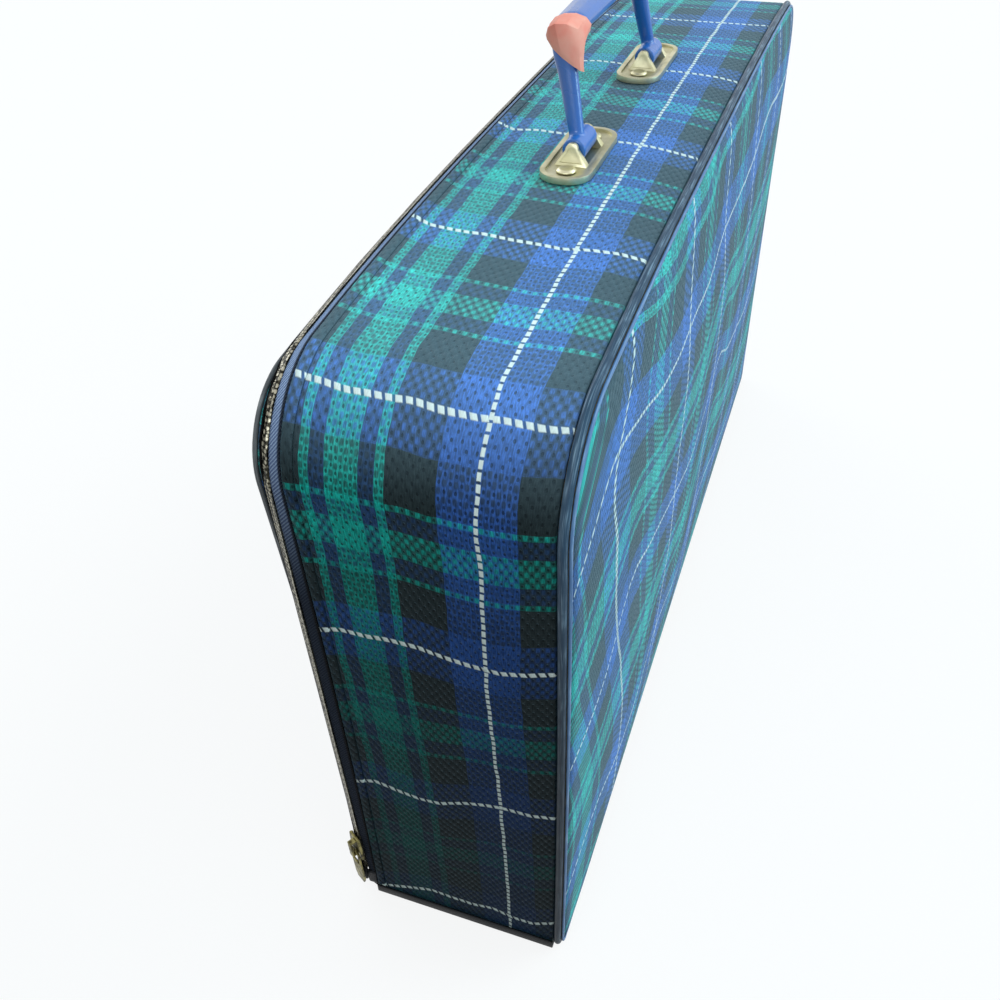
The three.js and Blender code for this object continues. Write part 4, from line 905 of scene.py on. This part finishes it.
# The lid's wraps stop short of the bottom, where they would strike the case with the lid open
for word, side in (("near", -1), ("far", 1)):
    case_wrap = foot_wrap(f"case_foot_wrap_{word}", side, CASE_WRAP_DEPTHS, 8, 4, False)
    dressed(case_wrap, "case", bottom_vinyl, "vinyl_trim")
    lid_wrap = foot_wrap(f"lid_foot_wrap_{word}", side, LID_WRAP_DEPTHS, 2, 0, True)
    dressed(lid_wrap, "lid", bottom_vinyl, "vinyl_trim")


def refinished(node, surface):
    """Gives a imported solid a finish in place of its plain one."""
    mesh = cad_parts[node].data
    mesh.materials.clear()
    mesh.materials.append(surface)


for surface, nodes in (
    (board, ("front_board", "band_board", "bottom_board", "lid_board")),
    (lining, ("case_lining", "lid_lining")),
    (lid_twill, ("zip_tape_lid",)),
    (tooth_metal, ("zip_stop_near", "zip_stop_far", "zip_teeth_case", "zip_teeth_lid")),
    (bottom_vinyl, ("hinge_strip_case", "hinge_strip_lid")),
    (steel, ("handle_backing_near", "handle_backing_far", "handle_pin_near", "handle_pin_far")),
):
    for name in nodes:
        refinished(name, surface)

bottom = softened("bottom_vinyl_sheet", "bottom_cover", 0.35, 3)
dressed(bottom, "case", bottom_vinyl, "vinyl_trim", "bottom_cover")

for word in ("near", "far"):
    plate = softened(f"mount_{word}", f"handle_plate_{word}", 0.35, 3, 25)
    dressed(plate, "case", nickel, "nickel_plate", f"handle_plate_{word}")
    for spot in ("outer", "inner"):
        name = f"rivet_{word}_{spot}"
        head = softened(f"{name}_head", name, 0.3, 3, 20)
        dressed(head, "case", nickel, "nickel_plate", name)

for name, node_name, body in (
    ("slider", "slider_body", "slider"), ("slider_inner_plate", "slider_back", "slider"),
    ("pull_tab", "zip_pull", "pull"),
):
    piece = softened(name, node_name, 0.25, 3)
    dressed(piece, body, slider_brass, "slider_brass", node_name)


def carry_grip():
    """The moulded handle: its solid, rounded all over by a fine remesh."""
    piece = cad_copy("carry_grip", "handle_grip")
    modify(piece, "REMESH", mode="VOXEL", voxel_size=0.55 * MM)
    modify(piece, "SMOOTH", factor=0.5, iterations=6)
    bpy.ops.object.shade_smooth()
    return piece


dressed(carry_grip(), "handle", grip_vinyl, "handle_vinyl", "handle_grip")
tag = softened("paper_tag", "handle_tag", 0.08, 2)
dressed(tag, "handle", tag_paper, "tag_paper", "handle_tag")


# Camera, floor and light
def place_camera():
    """The photograph's camera."""
    data = bpy.data.cameras.new("camera")
    camera = bpy.data.objects.new("camera", data)
    bpy.context.scene.collection.objects.link(camera)
    data.sensor_width = 36
    data.lens = CAMERA_LENS
    data.clip_start, data.clip_end = 0.01, 50
    forward = Vector((
        math.cos(CAMERA_PITCH) * math.cos(CAMERA_YAW),
        math.cos(CAMERA_PITCH) * math.sin(CAMERA_YAW),
        math.sin(CAMERA_PITCH),
    ))
    side = forward.cross(Vector((0, 0, 1))).normalized()
    over = side.cross(forward)
    right = side * math.cos(CAMERA_ROLL) + over * math.sin(CAMERA_ROLL)
    up = over * math.cos(CAMERA_ROLL) - side * math.sin(CAMERA_ROLL)
    turn = Matrix((right, up, -forward)).transposed().to_4x4()
    camera.matrix_world = Matrix.Translation(Vector(CAMERA_PLACE) * MM) @ turn
    bpy.context.scene.camera = camera


def seen_straight(tree):
    """1 for the camera, in reflections and through glass, 0 for the light on the object."""
    seen = node(tree, "LightPath").node.outputs
    straight = node(
        tree, "Math", (seen["Is Camera Ray"], seen["Is Glossy Ray"]), operation="MAXIMUM"
    )
    return node(tree, "Math", (straight, seen["Is Transmission Ray"]), operation="MAXIMUM")


def make_floor():
    """A floor that is white to the eye but keeps the shadow, and throws little light back."""
    deselect()
    bpy.ops.mesh.primitive_plane_add(size=12, location=(0, 0, -0.5 * MM))
    floor = bpy.context.object
    floor.name = "floor"
    made, tree = material("pale_floor")
    dim = node(tree, "BsdfDiffuse", {"Color": colour("#2c2b29")})
    white = node(tree, "Emission", {"Color": colour("#ffffff"), "Strength": 1.0})
    lit = node(tree, "BsdfDiffuse", {"Color": colour("#ffffff")})
    shown = node(tree, "MixShader", (0.85, lit, white))
    surface = node(tree, "MixShader", (seen_straight(tree), dim, shown))
    node(tree, "OutputMaterial", {"Surface": surface})
    floor.data.materials.append(made)


def make_world():
    """A soft sky that is brightest over the front, and dim towards the near end."""
    world = bpy.data.worlds.new("studio")
    bpy.context.scene.world = world
    world.use_nodes = True
    tree = world.node_tree
    tree.nodes.clear()
    way = node(tree, "TexCoord", output=0)
    towards = tuple(Vector(BRIGHT_SKY).normalized())
    facing = node(tree, "VectorMath", (way, towards), 1, operation="DOT_PRODUCT")
    bright = node(tree, "MapRange", (facing, -0.45, 0.8), **SOFT)
    level = node(tree, "Math", (bright, 0.92, 0.12), operation="MULTIPLY_ADD")
    tint = node(tree, "Mix", {0: bright, 6: colour("#fff8ee"), 7: colour("#d4f3ff")}, **BLEND)
    soft = node(tree, "Background", {"Color": tint, "Strength": level})
    white = node(tree, "Background", {"Color": (1, 1, 1, 1), "Strength": 1.0})
    surface = node(tree, "MixShader", (seen_straight(tree), soft, white))
    node(tree, "OutputWorld", {"Surface": surface})


def lamp(name, kind, place, light_from, painted_shade_level, tint, **settings):
    """A lamp at a place, whose light comes from the given way."""
    data = bpy.data.lights.new(name, kind)
    data.energy = painted_shade_level
    data.color = colour(tint)[:3]
    for key, value in settings.items():
        setattr(data, key, value)
    made = bpy.data.objects.new(name, data)
    bpy.context.scene.collection.objects.link(made)
    made.location = place
    made.rotation_mode = "QUATERNION"
    made.rotation_quaternion = Vector(light_from).to_track_quat("Z", "Y")
    return made


place_camera()
make_floor()
make_world()
lamp(
    "window", "SUN", (0, 0, 1), (0.5, -0.6, 0.62), 1.1, "#e9fbff", angle=math.radians(30)
)
lamp(
    "back_window", "SUN", (0, 0, 1), (0.45, 0.8, 0.35), 0.8, "#f4f8ff", angle=math.radians(40)
)
lamp(
    "front_window", "SUN", (0, 0, 1), (0.1, -1, 0.05), 1.3, "#c4f2ff", angle=math.radians(30)
)
# Close to the near top corner, so that the near end darkens towards its foot
room_lamp = lamp(
    "room_lamp", "AREA", (-0.5, -0.02, 0.45), (-1, 0, 0), 0.62, "#f2fbff", size=0.2
)
room_lamp.visible_camera = False

bpy.context.scene.view_settings.view_transform = "Standard"
